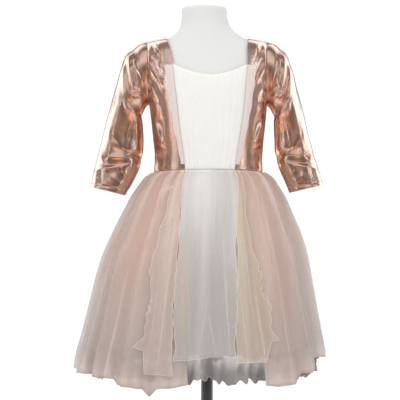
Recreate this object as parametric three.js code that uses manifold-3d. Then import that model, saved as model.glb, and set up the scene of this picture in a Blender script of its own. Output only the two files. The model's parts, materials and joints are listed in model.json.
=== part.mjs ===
// A girl's costume dress on a limbless dress form with a stand.
// Millimetres. X runs to the wearer's left, Y to the back and Z up. The origin is the centre of the
// base's underside. "Right" and "left" are the wearer's, so the right side is at negative X.
import * as THREE from "three";
import { mergeVertices } from "three/addons/utils/BufferGeometryUtils.js";
import Module from "manifold-3d";

const wasm = await Module();
wasm.setup();

// Driving dimensions.
const SEAM = 0.3; // left open between two pieces that meet
const FORM_CLEAR = 0.9; // the form lies this much inside the surface that the bodice is measured from
const CLOTH_FROM = 1.5; // from that surface to the inside of the bodice
const CLOTH_TO = 2.7; // and to its outside
const NET_FROM = 3.2; // the nets that lie on the bodice
const NET_TO = 4.2;
const NET_WALL = 1.0;
const LINING_WALL = 1.2;
const SLEEVE_WALL = 1.2;

const WAIST_FRONT = 713; // height of the waist seam at the centre front
const WAIST_DROP = 5; // how much lower it runs at the sides
const ARMHOLE_X = 110; // the armhole lies in this upright plane on each side
const SHOULDER_TOP = 957.5; // height of the form under the neck point of the dress
const SQUARENESS = 2.3; // 2 is an ellipse; the trunk is a little squarer

const POLE_RADIUS = 11;
const BASE_RADIUS = 150;
const BASE_HEIGHT = 9;
const BOSS_RADIUS = 24;
const BOSS_HEIGHT = 34;
const FLANGE_RADIUS = 36;
const FLANGE_HEIGHT = 6;
const FORM_BOTTOM = 560;

const FOLDS = 20; // folds around the whole skirt
const PER_FOLD = 4; // columns of points for each
const FOLD_AT_WAIST = 0.5; // half the depth of a fold, at the waist and at the hem
const FOLD_AT_HEM = 7;

// The form, from its bottom to the top of the neck: half its width, and its depth to front and back.
const FORM = [
  { z: 560, half: 82, front: 62, back: 60 },
  { z: 566, half: 92, front: 71, back: 70 },
  { z: 585, half: 99, front: 78, back: 78 },
  { z: 625, half: 104, front: 80, back: 84 },
  { z: 665, half: 102, front: 79, back: 79 },
  { z: 712, half: 98.4, front: 76, back: 70 },
  { z: 739, half: 98, front: 76.5, back: 69 },
  { z: 785, half: 102.4, front: 80, back: 72 },
  { z: 829, half: 107.2, front: 81, back: 77 },
  { z: 860, half: 113, front: 79, back: 79 },
  { z: 885, half: 120, front: 74, back: 79 },
  { z: 912, half: 126, front: 67, back: 75 },
  { z: 930, half: 124.5, front: 61, back: 69 },
  { z: 941, half: 119, front: 56, back: 64 },
  { z: 949, half: 109, front: 51, back: 60 },
  { z: 953.5, half: 92, front: 47, back: 57 },
  { z: 957.5, half: 76, front: 44, back: 54 },
  { z: 965, half: 63, front: 40, back: 50 },
  { z: 976, half: 51, front: 37, back: 46 },
  { z: 988, half: 45.5, front: 35, back: 43 },
  { z: 1004, half: 42.8, front: 34.5, back: 41.5 },
  { z: 1014, half: 42.8, front: 34.5, back: 41.5 },
  { z: 1018, half: 40, front: 32, back: 39 },
];

// The form doesn't stand quite straight: how far it lies to the wearer's left, with the dress on it.
const ASIDE = [
  { z: 620, x: 0 },
  { z: 713, x: 2.8 },
  { z: 805, x: 2.8 },
  { z: 900, x: 0 },
  { z: SHOULDER_TOP, x: 0 },
  { z: 985, x: -3.7 },
  { z: 1018, x: -5.5 },
];

// The front panel between the two foil pieces: half its width, and how far the dress has turned on the form.
const FRONT_PANEL = [
  { z: 700, half: 44, turned: 1.5 },
  { z: 717, half: 45, turned: 2.5 },
  { z: 800, half: 56.5, turned: 3.4 },
  { z: 859, half: 63, turned: 4.8 },
  { z: 905, half: 67.5, turned: 5.8 },
  { z: 935, half: 71, turned: 3 },
  { z: 962, half: 77.5, turned: 0 },
];
const NECK_DIP = 885; // height of the front neckline at its middle
const NECK_RISE = 20; // how much it rises to the side seams
const BACK_NECK = 922; // height of the back neckline at its middle
const BAND_TOP = 15; // width of the net bands
const BAND_WAIST = 7;
const BAND_RISE = 1.2; // how much each band stands up along its middle
const BAND_LENGTH = { from: 722, to: 903 };

// The skirt's outside, from the waist down: half its width to the wearer's right and left, and its depth.
const SKIRT = [
  { z: 714, right: 104.2, left: 105.2, front: 81.7, back: 76 },
  { z: 708, right: 107, left: 109, front: 84, back: 78 },
  { z: 700, right: 118, left: 120, front: 94, back: 88 },
  { z: 683, right: 131, left: 132, front: 110, back: 106 },
  { z: 661, right: 145, left: 146, front: 128, back: 126 },
  { z: 638, right: 156, left: 157, front: 143, back: 142 },
  { z: 593, right: 178.5, left: 176.5, front: 165, back: 166 },
  { z: 549, right: 198, left: 189, front: 180, back: 183 },
  { z: 504, right: 211, left: 197, front: 190, back: 195 },
  { z: 459, right: 222, left: 205.5, front: 198, back: 204 },
  { z: 414, right: 233, left: 214.5, front: 205, back: 212 },
  { z: 369, right: 244.5, left: 222.5, front: 212, back: 219 },
  { z: 318, right: 252, left: 228.5, front: 218, back: 225 },
];

// Hem heights. A turn is in degrees from the centre front, positive to the wearer's left.
const HEM_LINING = 388;
const HEM_PETTICOAT = 345;
const PETTICOAT_WAVE = 4;
const HEM_PINK_RIGHT = [
  { turn: -180, z: 346 },
  { turn: -90, z: 345 },
  { turn: -44, z: 342 },
  { turn: -41, z: 331 },
  { turn: -28, z: 330 },
  { turn: -24.5, z: 316 },
  { turn: -21, z: 329 },
  { turn: -13, z: 333 },
  { turn: -8, z: 340 },
];
const HEM_PINK_LEFT = [
  { turn: 28, z: 334 },
  { turn: 44, z: 331 },
  { turn: 49, z: 350 },
  { turn: 62, z: 351 },
  { turn: 67, z: 371 },
  { turn: 99, z: 373 },
  { turn: 107, z: 352 },
  { turn: 180, z: 346 },
];
const HEM_TOP_RIGHT = [
  { turn: -31, z: 400 },
  { turn: -28, z: 397 },
  { turn: -26.5, z: 356 },
  { turn: -14, z: 354 },
];
const HEM_TOP_CENTRE = [
  { turn: -15, z: 379 },
  { turn: -2, z: 385 },
  { turn: 14, z: 387 },
];
const HEM_TOP_LEFT = [
  { turn: 13, z: 378 },
  { turn: 28, z: 375 },
  { turn: 31, z: 412 },
  { turn: 34, z: 414 },
];

// The side seams of the lining and the petticoat, and the edges of each net from the waist (down 0) to its
// hem (down 1), in degrees.
const EDGES_FRONT_HALF = [
  { down: 0, from: -89.95, to: 89.95 },
  { down: 1, from: -89.95, to: 89.95 },
];
const EDGES_BACK_HALF = [
  { down: 0, from: 90.05, to: 269.95 },
  { down: 1, from: 90.05, to: 269.95 },
];
const EDGES_PINK_RIGHT = [
  { down: 0, from: -179.85, to: -19 },
  { down: 0.5, from: -179.95, to: -12 },
  { down: 1, from: -179.96, to: -8 },
];
const EDGES_PINK_LEFT = [
  { down: 0, from: 22, to: 179.85 },
  { down: 0.5, from: 25, to: 179.95 },
  { down: 1, from: 28, to: 179.96 },
];
const EDGES_TOP_RIGHT = [
  { down: 0, from: -24, to: -19.2 },
  { down: 0.15, from: -27.4, to: -17.6 },
  { down: 0.5, from: -28.2, to: -15.6 },
  { down: 0.9, from: -28.6, to: -14.7 },
  { down: 1, from: -31, to: -14.5 },
];
const EDGES_TOP_CENTRE = [
  { down: 0, from: -18.8, to: 22.6 },
  { down: 0.15, from: -17.3, to: 19.6 },
  { down: 0.5, from: -15.3, to: 15.2 },
  { down: 1, from: -14.2, to: 13 },
];
const EDGES_TOP_LEFT = [
  { down: 0, from: 23, to: 27 },
  { down: 0.15, from: 19.9, to: 25.4 },
  { down: 0.32, from: 17.4, to: 24 },
  { down: 0.5, from: 15.5, to: 29 },
  { down: 0.9, from: 13.6, to: 31 },
  { down: 1, from: 13.3, to: 34 },
];

// The layers of the skirt: how far each one's outside lies in from the skirt's outside.
const LAYER_LINING = { waist: 3.6, hem: 15 };
const LAYER_PETTICOAT = { waist: 1.8, hem: 8 };
const LAYER_PINK = { waist: 0, hem: 0 };
const LAYER_TOP = { waist: -2.2, hem: -7 };

// The sleeves. Each row is a section: its outer and inner point as seen from the front, and half its depth.
// Row 0 is the armhole itself, so its numbers come from the bodice.
const SLEEVE_RIGHT = [
  { outX: 110, outZ: 951, inX: 110, inZ: 832, half: 46, mid: 0 },
  { outX: 132.8, outZ: 941, inX: 112, inZ: 831.5, half: 47, mid: 0 },
  { outX: 149.6, outZ: 930, inX: 115, inZ: 827.5, half: 47, mid: 0 },
  { outX: 158, outZ: 911, inX: 118, inZ: 821.5, half: 45, mid: 0 },
  { outX: 164, outZ: 891, inX: 120, inZ: 814.5, half: 43, mid: -1 },
  { outX: 171, outZ: 866, inX: 120.3, inZ: 804, half: 41, mid: -2 },
  { outX: 179, outZ: 838, inX: 119.2, inZ: 790, half: 38, mid: -3 },
  { outX: 188, outZ: 803, inX: 118.2, inZ: 771, half: 35, mid: -5 },
  { outX: 196, outZ: 770, inX: 118, inZ: 751, half: 33, mid: -8 },
  { outX: 203, outZ: 741, inX: 120.5, inZ: 731, half: 31, mid: -12 },
  { outX: 208.5, outZ: 719, inX: 127, inZ: 712, half: 29, mid: -17 },
  { outX: 213, outZ: 698, inX: 138, inZ: 690, half: 27, mid: -22 },
  { outX: 216.2, outZ: 681.4, inX: 151.5, inZ: 665.5, half: 25, mid: -27 },
];
const SLEEVE_LEFT = [
  { outX: 110, outZ: 951, inX: 110, inZ: 832, half: 46, mid: 0 },
  { outX: 132.8, outZ: 941, inX: 113, inZ: 832.5, half: 47, mid: 0 },
  { outX: 147.7, outZ: 930, inX: 117, inZ: 829, half: 47, mid: 0 },
  { outX: 156, outZ: 909, inX: 120.8, inZ: 822.5, half: 45, mid: 0 },
  { outX: 161.8, outZ: 891, inX: 123.2, inZ: 814.5, half: 43, mid: -1 },
  { outX: 168, outZ: 866, inX: 124.4, inZ: 803, half: 41, mid: -2 },
  { outX: 176, outZ: 836, inX: 125.2, inZ: 789, half: 38, mid: -3 },
  { outX: 184, outZ: 801, inX: 125.9, inZ: 770, half: 35, mid: -5 },
  { outX: 192, outZ: 768, inX: 125.6, inZ: 752, half: 33, mid: -8 },
  { outX: 199, outZ: 743, inX: 127.4, inZ: 735, half: 31, mid: -12 },
  { outX: 205, outZ: 721, inX: 134, inZ: 716, half: 29, mid: -17 },
  { outX: 210.5, outZ: 702, inX: 143.5, inZ: 693, half: 27, mid: -22 },
  { outX: 215, outZ: 685.1, inX: 152.4, inZ: 670.2, half: 25, mid: -27 },
];

// The sleeves' largest folds. A station is a row of the tables above, and a turn is in degrees from the
// sleeve's outer edge over its front. Long and wide are the spread both ways, and high is outwards.
const SLEEVE_FOLDS = [
  { station: 2.6, turn: 128, long: 0.9, wide: 26, high: 4 },
  { station: 4.4, turn: 142, long: 0.5, wide: 34, high: -6 },
  { station: 5.4, turn: 120, long: 1.2, wide: 22, high: 3 },
  { station: 2.8, turn: 232, long: 0.9, wide: 26, high: 3.5 },
  { station: 4.5, turn: 216, long: 0.5, wide: 34, high: -5 },
  { station: 8.8, turn: 150, long: 0.4, wide: 32, high: -4 },
  { station: 9.6, turn: 118, long: 0.5, wide: 24, high: 3 },
  { station: 9.2, turn: 214, long: 0.4, wide: 30, high: -3.5 },
  { station: 7.2, turn: 60, long: 2.2, wide: 18, high: 2 },
];

const DEGREE = Math.PI / 180;
const lerp = THREE.MathUtils.lerp;
const smoothstep = THREE.MathUtils.smoothstep;
const clamp = THREE.MathUtils.clamp;

// A smooth curve through one column of a table. It is level where the column turns, so it never overshoots.
function curve(rows, along, name) {
  const t = rows.map((row) => row[along]);
  const v = rows.map((row) => row[name]);
  const rise = t.slice(1).map((_, k) => (v[k + 1] - v[k]) / (t[k + 1] - t[k]));
  const slope = v.map((_, k) => {
    const before = rise[Math.max(0, k - 1)];
    const after = rise[Math.min(rise.length - 1, k)];
    return before * after <= 0 ? 0 : (2 * before * after) / (before + after);
  });
  return (at) => {
    let k = 0;
    while (k < t.length - 2 && at > t[k + 1]) k++;
    const span = t[k + 1] - t[k];
    const u = clamp((at - t[k]) / span, 0, 1);
    const ease = u * u * (3 - 2 * u);
    return (
      v[k] * (1 - ease) +
      v[k + 1] * ease +
      span * u * (1 - u) * (slope[k] * (1 - u) - slope[k + 1] * u)
    );
  };
}

// Straight lines through one column of a table, for the steps of a hem.
function steps(rows, along, name) {
  return (at) => {
    let k = 0;
    while (k < rows.length - 2 && at > rows[k + 1][along]) k++;
    const u = (at - rows[k][along]) / (rows[k + 1][along] - rows[k][along]);
    return lerp(rows[k][name], rows[k + 1][name], clamp(u, 0, 1));
  };
}

// A closed surface from points and triangles, turned so that its faces point out.
function closed(points, faces) {
  const geometry = new THREE.BufferGeometry();
  geometry.setAttribute("position", new THREE.Float32BufferAttribute(points, 3));
  geometry.setIndex(faces);
  const corner = faces.map((k) => new THREE.Vector3(...points.slice(3 * k, 3 * k + 3)));
  let volume = 0;
  for (let k = 0; k < corner.length; k += 3) {
    volume += corner[k].dot(corner[k + 1].clone().cross(corner[k + 2]));
  }
  if (volume < 0) geometry.setIndex(faces.toReversed());
  return geometry;
}

// A closed wall between an outer and an inner face. Each face gives the point at a row and a column, as
// shares from 0 to 1. A wall that runs all round has no side edges.
function wall(rows, columns, outside, inside, allRound = false) {
  const width = allRound ? columns : columns + 1;
  const points = [];
  for (const face of [outside, inside]) {
    for (let i = 0; i <= rows; i++) {
      for (let j = 0; j < width; j++) points.push(...face(i / rows, j / columns));
    }
  }
  const at = (face, i, j) => (face * (rows + 1) + i) * width + (j % width);
  const faces = [];
  const quad = (a, b, c, d) => faces.push(a, b, c, a, c, d);
  for (let i = 0; i < rows; i++) {
    for (let j = 0; j < columns; j++) {
      quad(at(0, i, j), at(0, i, j + 1), at(0, i + 1, j + 1), at(0, i + 1, j));
      quad(at(1, i, j), at(1, i + 1, j), at(1, i + 1, j + 1), at(1, i, j + 1));
    }
  }
  for (let j = 0; j < columns; j++) {
    quad(at(0, 0, j), at(1, 0, j), at(1, 0, j + 1), at(0, 0, j + 1));
    quad(at(0, rows, j), at(0, rows, j + 1), at(1, rows, j + 1), at(1, rows, j));
  }
  for (let i = 0; i < rows && !allRound; i++) {
    quad(at(0, i, 0), at(0, i + 1, 0), at(1, i + 1, 0), at(1, i, 0));
    quad(at(0, i, columns), at(1, i, columns), at(1, i + 1, columns), at(0, i + 1, columns));
  }
  return closed(points, faces);
}

// The form and the bodice share one surface, moved out by a distance. A turn is an angle from the centre
// front, positive to the wearer's left.
const formHalf = curve(FORM, "z", "half");
const formFront = curve(FORM, "z", "front");
const formBack = curve(FORM, "z", "back");
const POWER = 2 / SQUARENESS;
const formPower = (z) => lerp(POWER, 1, smoothstep(z, SHOULDER_TOP, 990)); // the neck is round
const signedPower = (value, power) => Math.sign(value) * Math.abs(value) ** power;
const aside = curve(ASIDE, "z", "x");

function formPoint(turn, z, out) {
  const ahead = Math.cos(turn);
  const depth = (ahead > 0 ? formFront(z) : formBack(z)) + out;
  return [
    aside(z) + (formHalf(z) + out) * signedPower(Math.sin(turn), formPower(z)),
    -depth * signedPower(ahead, formPower(z)),
    z + out * smoothstep(z, 885, 945),
  ];
}

// The turn at which that surface reaches a distance x from its own middle.
function turnAt(x, z, out) {
  const share = clamp(Math.abs(x) / (formHalf(z) + out), 0, 1);
  return Math.sign(x) * Math.asin(share ** (1 / POWER));
}

// How deep the surface is, to the front or back, where it crosses an upright plane at x.
function depthAt(x, z, out, front) {
  const share = clamp(Math.abs(x) / (formHalf(z) + out), 0, 1);
  const depth = (front ? formFront(z) : formBack(z)) + out;
  return depth * (1 - share ** SQUARENESS) ** (1 / SQUARENESS);
}

const waistAt = (turn) => WAIST_FRONT - WAIST_DROP * Math.sin(turn) ** 2;

// The heights of the rows of the foil pieces, closer where the shoulder turns over.
const FOIL_ROWS = [0, 740, 775, 808, 830, 846, 866, 888, 908, 923, 935, 944, 950, 954, SHOULDER_TOP];
const foilHeight = (share, turn) => {
  const k = Math.round(share * (FOIL_ROWS.length - 1));
  return k === 0 ? waistAt(turn) : FOIL_ROWS[k];
};

// Two faces of a piece that lies on the form, between two turns that may change with height.
function laid(from, to, height, inner, outer, rows, columns, ripple = () => 0) {
  const face = (out) => (i, j) => {
    const rough = height(i, lerp(from(WAIST_FRONT, out), to(WAIST_FRONT, out), j));
    const turn = lerp(from(rough, out), to(rough, out), j);
    return formPoint(turn, height(i, turn), out + ripple(turn, rough, i, j));
  };
  return wall(rows, columns, face(outer), face(inner));
}

const panelHalf = curve(FRONT_PANEL, "z", "half");
const panelTurned = curve(FRONT_PANEL, "z", "turned");
const panelEdge = (side, z, out, beyond = 0) =>
  turnAt(side * (panelHalf(z) + beyond) + panelTurned(z), z, out);

// The edge of a foil piece at the armhole, and below and above it at the side and shoulder seams.
function foilEdge(z, out) {
  const seam = 90 * DEGREE - SEAM / 2 / (formFront(z) + out);
  return Math.min(seam, turnAt(ARMHOLE_X - SEAM / 2, z, out));
}

// Creases of the foil from shoulder to bust and above the waist, each a soft ridge.
const FOIL_CREASES = [
  { x: 92, z: 925, long: 28, wide: 5, lean: 0.5, high: 1.6 },
  { x: 100, z: 880, long: 30, wide: 6, lean: 0.35, high: 1.8 },
  { x: 84, z: 862, long: 34, wide: 6, lean: 0.7, high: 1.5 },
  { x: 88, z: 790, long: 26, wide: 6, lean: -0.4, high: 1.5 },
  { x: 74, z: 745, long: 22, wide: 7, lean: 0.3, high: 1.4 },
];
function foilCrease(turn, z, away) {
  const x = formPoint(turn, z, 0)[0] - aside(z);
  return FOIL_CREASES.reduce((sum, crease) => {
    const down = (z - crease.z) / crease.long;
    const across = (Math.abs(x) - crease.x - crease.lean * (z - crease.z)) / crease.wide;
    return sum + crease.high * Math.exp(-down * down - across * across) * away;
  }, 0);
}

function frontSide(side) {
  const seamGap = SEAM / 2;
  const inner = (z, out) => panelEdge(side, z, out, seamGap);
  const outer = (z, out) => side * foilEdge(z, out);
  // No crease runs under the net band or into the armhole seam.
  const crease = (turn, z, i, j) => foilCrease(turn, z, smoothstep(j, 0.3, 0.55) * (1 - smoothstep(j, 0.8, 1)));
  return laid(inner, outer, foilHeight, CLOTH_FROM, CLOTH_TO, FOIL_ROWS.length - 1, 6, crease);
}

// The height of the front neckline, lowest at a small point in the middle.
function neckline(j) {
  const across = Math.abs(2 * j - 1);
  return NECK_DIP + NECK_RISE * across ** 1.5;
}
const panelHeight = (i, turn, j) => lerp(waistAt(turn), neckline(j), i);

function frontPanel(inner, outer, columns, rows, ripple) {
  const face = (out) => (i, j) => {
    const z = panelHeight(i, 0, j);
    const gap = SEAM / 2;
    const turn = lerp(panelEdge(-1, z, out, -gap), panelEdge(1, z, out, -gap), j);
    return formPoint(turn, panelHeight(i, turn, j), out + ripple(i, j));
  };
  return wall(rows, columns, face(outer), face(inner));
}

// The net's gathers: nine soft folds, stronger at the top and the waist than between.
const GATHERS = 9;
function gathered(i, j) {
  const strength = 0.5 + 0.5 * Math.abs(2 * i - 1);
  const wander = 0.25 * Math.sin(3 * i + 5 * j);
  const inside = Math.sin(Math.PI * j) ** 0.5;
  return (1 - Math.cos(2 * Math.PI * (GATHERS * j + wander * inside))) * strength * inside;
}

function band(side) {
  const width = (z) => lerp(BAND_WAIST, BAND_TOP, smoothstep(z, WAIST_FRONT, 880));
  const inner = (z, out) => panelEdge(side, z, out, SEAM);
  const outer = (z, out) => panelEdge(side, z, out, SEAM + width(z));
  const height = (i) => lerp(BAND_LENGTH.from, BAND_LENGTH.to, i);
  const rounded = (turn, z, i, j) => BAND_RISE * Math.sin(Math.PI * j);
  return laid(inner, outer, height, NET_FROM, NET_TO, 9, 2, rounded);
}

// Joins and cuts of closed surfaces.
function solid(geometry) {
  const bare = geometry.clone();
  bare.deleteAttribute("normal");
  bare.deleteAttribute("uv");
  const merged = mergeVertices(bare, 1e-4);
  return new wasm.Manifold(
    new wasm.Mesh({
      numProp: 3,
      vertProperties: merged.attributes.position.array,
      triVerts: new Uint32Array(merged.index.array),
    }),
  );
}
function surface(made) {
  const mesh = made.getMesh();
  const geometry = new THREE.BufferGeometry();
  geometry.setAttribute("position", new THREE.Float32BufferAttribute(mesh.vertProperties, 3));
  geometry.setIndex([...mesh.triVerts]);
  return geometry;
}

// The back is one piece from side seam to side seam, with the neck scooped out of it.
function bodiceBack() {
  const from = (z, out) => Math.PI - foilBackEdge(z, out);
  const to = (z, out) => Math.PI + foilBackEdge(z, out);
  const whole = laid(to, from, foilHeight, CLOTH_FROM, CLOTH_TO, FOIL_ROWS.length - 1, 14, backCrease);
  const scoop = new THREE.Shape();
  const top = SHOULDER_TOP + 30;
  const edge = panelHalf(SHOULDER_TOP);
  scoop.moveTo(-edge, top);
  scoop.lineTo(-edge, SHOULDER_TOP);
  scoop.bezierCurveTo(-edge + 12, 930, -35, BACK_NECK, 0, BACK_NECK);
  scoop.bezierCurveTo(35, BACK_NECK, edge - 12, 930, edge, SHOULDER_TOP);
  scoop.lineTo(edge, top);
  const cutter = new THREE.ExtrudeGeometry(scoop, { depth: 120, bevelEnabled: false, curveSegments: 8 });
  cutter.rotateX(Math.PI / 2);
  cutter.translate(0, 120, 0);
  return surface(solid(whole).subtract(solid(cutter)));
}
function foilBackEdge(z, out) {
  const seam = 90 * DEGREE - SEAM / 2 / (formBack(z) + out);
  return Math.min(seam, turnAt(ARMHOLE_X - SEAM / 2, z, out));
}
function backCrease(turn, z, i, j) {
  return foilCrease(turn, z, Math.sin(Math.PI * j) * 0.8);
}

// The height at which the surface meets the armhole's plane, searched from its widest row to an end.
function armholeEnd(out, end) {
  let within = FORM.find((row) => row.half === Math.max(...FORM.map(({ half }) => half))).z;
  for (let halving = 0; halving < 30; halving++) {
    const middle = (within + end) / 2;
    if (formHalf(middle) + out > ARMHOLE_X + SEAM / 2) within = middle;
    else end = middle;
  }
  return within;
}

// A sleeve from the armhole to the cuff. The ring's angle starts at the outer edge and runs over the front.
function sleeve(side, table) {
  const last = table.length - 1;
  const rows = table.map((row, station) => ({ ...row, station }));
  const [outX, outZ, inX, inZ, half, mid] = ["outX", "outZ", "inX", "inZ", "half", "mid"].map((name) =>
    curve(rows, "station", name),
  );
  const armhole = (angle, out) => {
    const top = armholeEnd(out, SHOULDER_TOP);
    const bottom = armholeEnd(out, FOIL_ROWS[2]);
    const z = lerp(bottom, top, (1 + Math.cos(angle)) / 2);
    const front = Math.sin(angle) > 0;
    const y = depthAt(ARMHOLE_X + SEAM / 2, z, out, front);
    const x = side * (ARMHOLE_X + SEAM / 2) + aside(z);
    return [x, front ? -y : y, z + out * smoothstep(z, 885, 945)];
  };
  const ring = (station, angle, out) => {
    const fold = SLEEVE_FOLDS.reduce((sum, one) => {
      const along = (station - one.station) / one.long;
      const across = ((angle / DEGREE - one.turn) / one.wide) ** 2;
      return sum + one.high * Math.exp(-along * along - across);
    }, 0);
    const grown = out + fold * smoothstep(station, 0.3, 1.5);
    const cx = (outX(station) + inX(station)) / 2;
    const cz = (outZ(station) + inZ(station)) / 2;
    const ax = outX(station) - cx;
    const az = outZ(station) - cz;
    const reach = 1 + grown / Math.hypot(ax, az);
    return [
      side * (cx + ax * reach * Math.cos(angle)),
      mid(station) - (half(station) + grown) * Math.sin(angle),
      cz + az * reach * Math.cos(angle),
    ];
  };
  const face = (out) => (i, j) => {
    const station = i * last;
    const angle = j * 2 * Math.PI;
    const onBody = armhole(angle, CLOTH_TO + out);
    const free = ring(station, angle, out);
    if (station === 0) return onBody;
    // The armhole's outline fades out over two rows, and its height over one.
    const deep = lerp(onBody[1], free[1], smoothstep(station, 0, 2));
    const high = lerp(onBody[2], free[2], smoothstep(station, 0, 1.2));
    return [free[0], deep, high];
  };
  return wall(14, 18, face(0), face(-SLEEVE_WALL), true);
}

// The skirt. Its folds are uneven because the cloth is wound on at an uneven rate.
const skirtRight = curve([...SKIRT].reverse(), "z", "right");
const skirtLeft = curve([...SKIRT].reverse(), "z", "left");
const skirtFront = curve([...SKIRT].reverse(), "z", "front");
const skirtBack = curve([...SKIRT].reverse(), "z", "back");
const uneven = (turn) => turn + 0.035 * Math.sin(3 * turn + 1) + 0.02 * Math.sin(7 * turn + 2);

function skirtPoint(turn, z, inset, down) {
  const width = Math.sin(turn) > 0 ? skirtLeft(z) : skirtRight(z);
  const depth = Math.cos(turn) > 0 ? skirtFront(z) : skirtBack(z);
  const fold = lerp(FOLD_AT_WAIST, FOLD_AT_HEM, smoothstep(down, 0, 0.8));
  const size = 0.75 + 0.25 * Math.sin(5 * turn + 0.6);
  const inwards = inset + fold * size * (1 - Math.cos(FOLDS * uneven(turn)));
  const power = lerp(POWER, 1, smoothstep(down, 0, 0.3)); // as square as the form at the waist
  const across = signedPower(Math.sin(turn), power);
  const ahead = signedPower(Math.cos(turn), power);
  return [aside(z) + (width - inwards) * across, -(depth - inwards) * ahead, z];
}

// The rows of the skirt, closer under the waist, where it springs out.
const SKIRT_ROWS = [0, 0.025, 0.07, 0.15, 0.32, 0.56, 0.8, 1];

function skirtLayer(edges, hem, layer, thick, columns) {
  const from = curve(edges, "down", "from");
  const to = curve(edges, "down", "to");
  const rows = SKIRT_ROWS.length - 1;
  const face = (more) => (i, j) => {
    const down = SKIRT_ROWS[Math.round(i * rows)];
    const turn = lerp(from(down), to(down), j);
    const top = waistAt(turn * DEGREE) - SEAM - 0.2;
    const z = lerp(top, hem(turn), down);
    const inset = lerp(layer.waist, layer.hem, smoothstep(down, 0, 0.7)) + more;
    return skirtPoint(turn * DEGREE, z, inset, down);
  };
  return wall(rows, columns, face(0), face(thick));
}

function netPanel(edges, hem, layer, columns) {
  return skirtLayer(edges, steps(hem, "turn", "z"), layer, NET_WALL, columns);
}

// Half of the petticoat or the lining, from side seam to side seam.
function petticoat(edges) {
  const hem = (turn) => HEM_PETTICOAT + PETTICOAT_WAVE * Math.sin(FOLDS * uneven(turn * DEGREE) + 0.8);
  return skirtLayer(edges, hem, LAYER_PETTICOAT, NET_WALL, (PER_FOLD * FOLDS) / 2);
}
function lining(edges) {
  return skirtLayer(edges, () => HEM_LINING, LAYER_LINING, LINING_WALL, (PER_FOLD * FOLDS) / 4);
}

// The form: rings closed by a flat bottom and a flat neck top.
function formBody() {
  const columns = 28;
  const points = [];
  const faces = [];
  for (const row of FORM) {
    for (let j = 0; j < columns; j++) points.push(...formPoint((j / columns) * 2 * Math.PI, row.z, -FORM_CLEAR));
  }
  const ring = (i, j) => i * columns + (j % columns);
  for (let i = 0; i < FORM.length - 1; i++) {
    for (let j = 0; j < columns; j++) {
      faces.push(ring(i, j), ring(i, j + 1), ring(i + 1, j + 1));
      faces.push(ring(i, j), ring(i + 1, j + 1), ring(i + 1, j));
    }
  }
  const bottom = FORM.length * columns;
  const top = bottom + 1;
  const topHeight = FORM[FORM.length - 1].z;
  points.push(0, 0, FORM[0].z, aside(topHeight), 0, topHeight - FORM_CLEAR);
  for (let j = 0; j < columns; j++) {
    faces.push(bottom, ring(0, j + 1), ring(0, j));
    faces.push(top, ring(FORM.length - 1, j), ring(FORM.length - 1, j + 1));
  }
  return closed(points, faces);
}

// A turned piece, from its profile of radius and height.
function turned(profile, sides) {
  const geometry = new THREE.LatheGeometry(
    profile.map(([radius, z]) => new THREE.Vector2(radius, z)),
    sides,
  );
  geometry.rotateX(Math.PI / 2);
  return geometry;
}

const standBase = () =>
  turned(
    [
      [0, 0],
      [BASE_RADIUS, 0],
      [BASE_RADIUS, BASE_HEIGHT - 3],
      [BASE_RADIUS - 3, BASE_HEIGHT],
      [BOSS_RADIUS + 8, BASE_HEIGHT + 2],
      [BOSS_RADIUS, BASE_HEIGHT + 10],
      [BOSS_RADIUS - 4, BOSS_HEIGHT],
      [0, BOSS_HEIGHT],
    ],
    32,
  );

const standPole = () =>
  turned(
    [
      [0, BOSS_HEIGHT + SEAM],
      [POLE_RADIUS, BOSS_HEIGHT + SEAM],
      [POLE_RADIUS, FORM_BOTTOM - FLANGE_HEIGHT - 2 * SEAM],
      [0, FORM_BOTTOM - FLANGE_HEIGHT - 2 * SEAM],
    ],
    16,
  );

const standFlange = () =>
  turned(
    [
      [0, FORM_BOTTOM - FLANGE_HEIGHT - SEAM],
      [FLANGE_RADIUS - 2, FORM_BOTTOM - FLANGE_HEIGHT - SEAM],
      [FLANGE_RADIUS, FORM_BOTTOM - FLANGE_HEIGHT + 1],
      [FLANGE_RADIUS, FORM_BOTTOM - SEAM],
      [0, FORM_BOTTOM - SEAM],
    ],
    24,
  );

// Materials.
const material = (color, roughness, metalness = 0) =>
  new THREE.MeshStandardMaterial({ color, roughness, metalness, side: THREE.DoubleSide });
const FOIL = material(0xc08f78, 0.25, 0.9);
const SATIN = material(0xf1efeb, 0.5);
const WHITE_NET = material(0xf2f0ed, 0.8);
const CREAM_NET = material(0xe9dcc6, 0.8);
const PINK_NET = material(0xdcc4b8, 0.8);
const FORM_WHITE = material(0xeeeeec, 0.6);
const STEEL = material(0x8a8a8c, 0.35, 0.9);

const part = new THREE.Group();
function add(name, geometry, finish) {
  const mesh = new THREE.Mesh(geometry, finish);
  mesh.name = name;
  part.add(mesh);
}

add("form_body", formBody(), FORM_WHITE);
add("stand_flange", standFlange(), STEEL);
add("stand_pole", standPole(), STEEL);
add("stand_base", standBase(), STEEL);

add("front_centre", frontPanel(CLOTH_FROM, CLOTH_TO, 8, 6, () => 0), SATIN);
add("front_centre_net", frontPanel(NET_FROM, NET_TO, 3 * GATHERS, 6, gathered), WHITE_NET);
add("bodice_back", bodiceBack(), FOIL);
for (const [name, side, table] of [
  ["right", -1, SLEEVE_RIGHT],
  ["left", 1, SLEEVE_LEFT],
]) {
  add("front_side_" + name, frontSide(side), FOIL);
  add("band_" + name, band(side), PINK_NET);
  add("sleeve_" + name, sleeve(side, table), FOIL);
}

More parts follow.
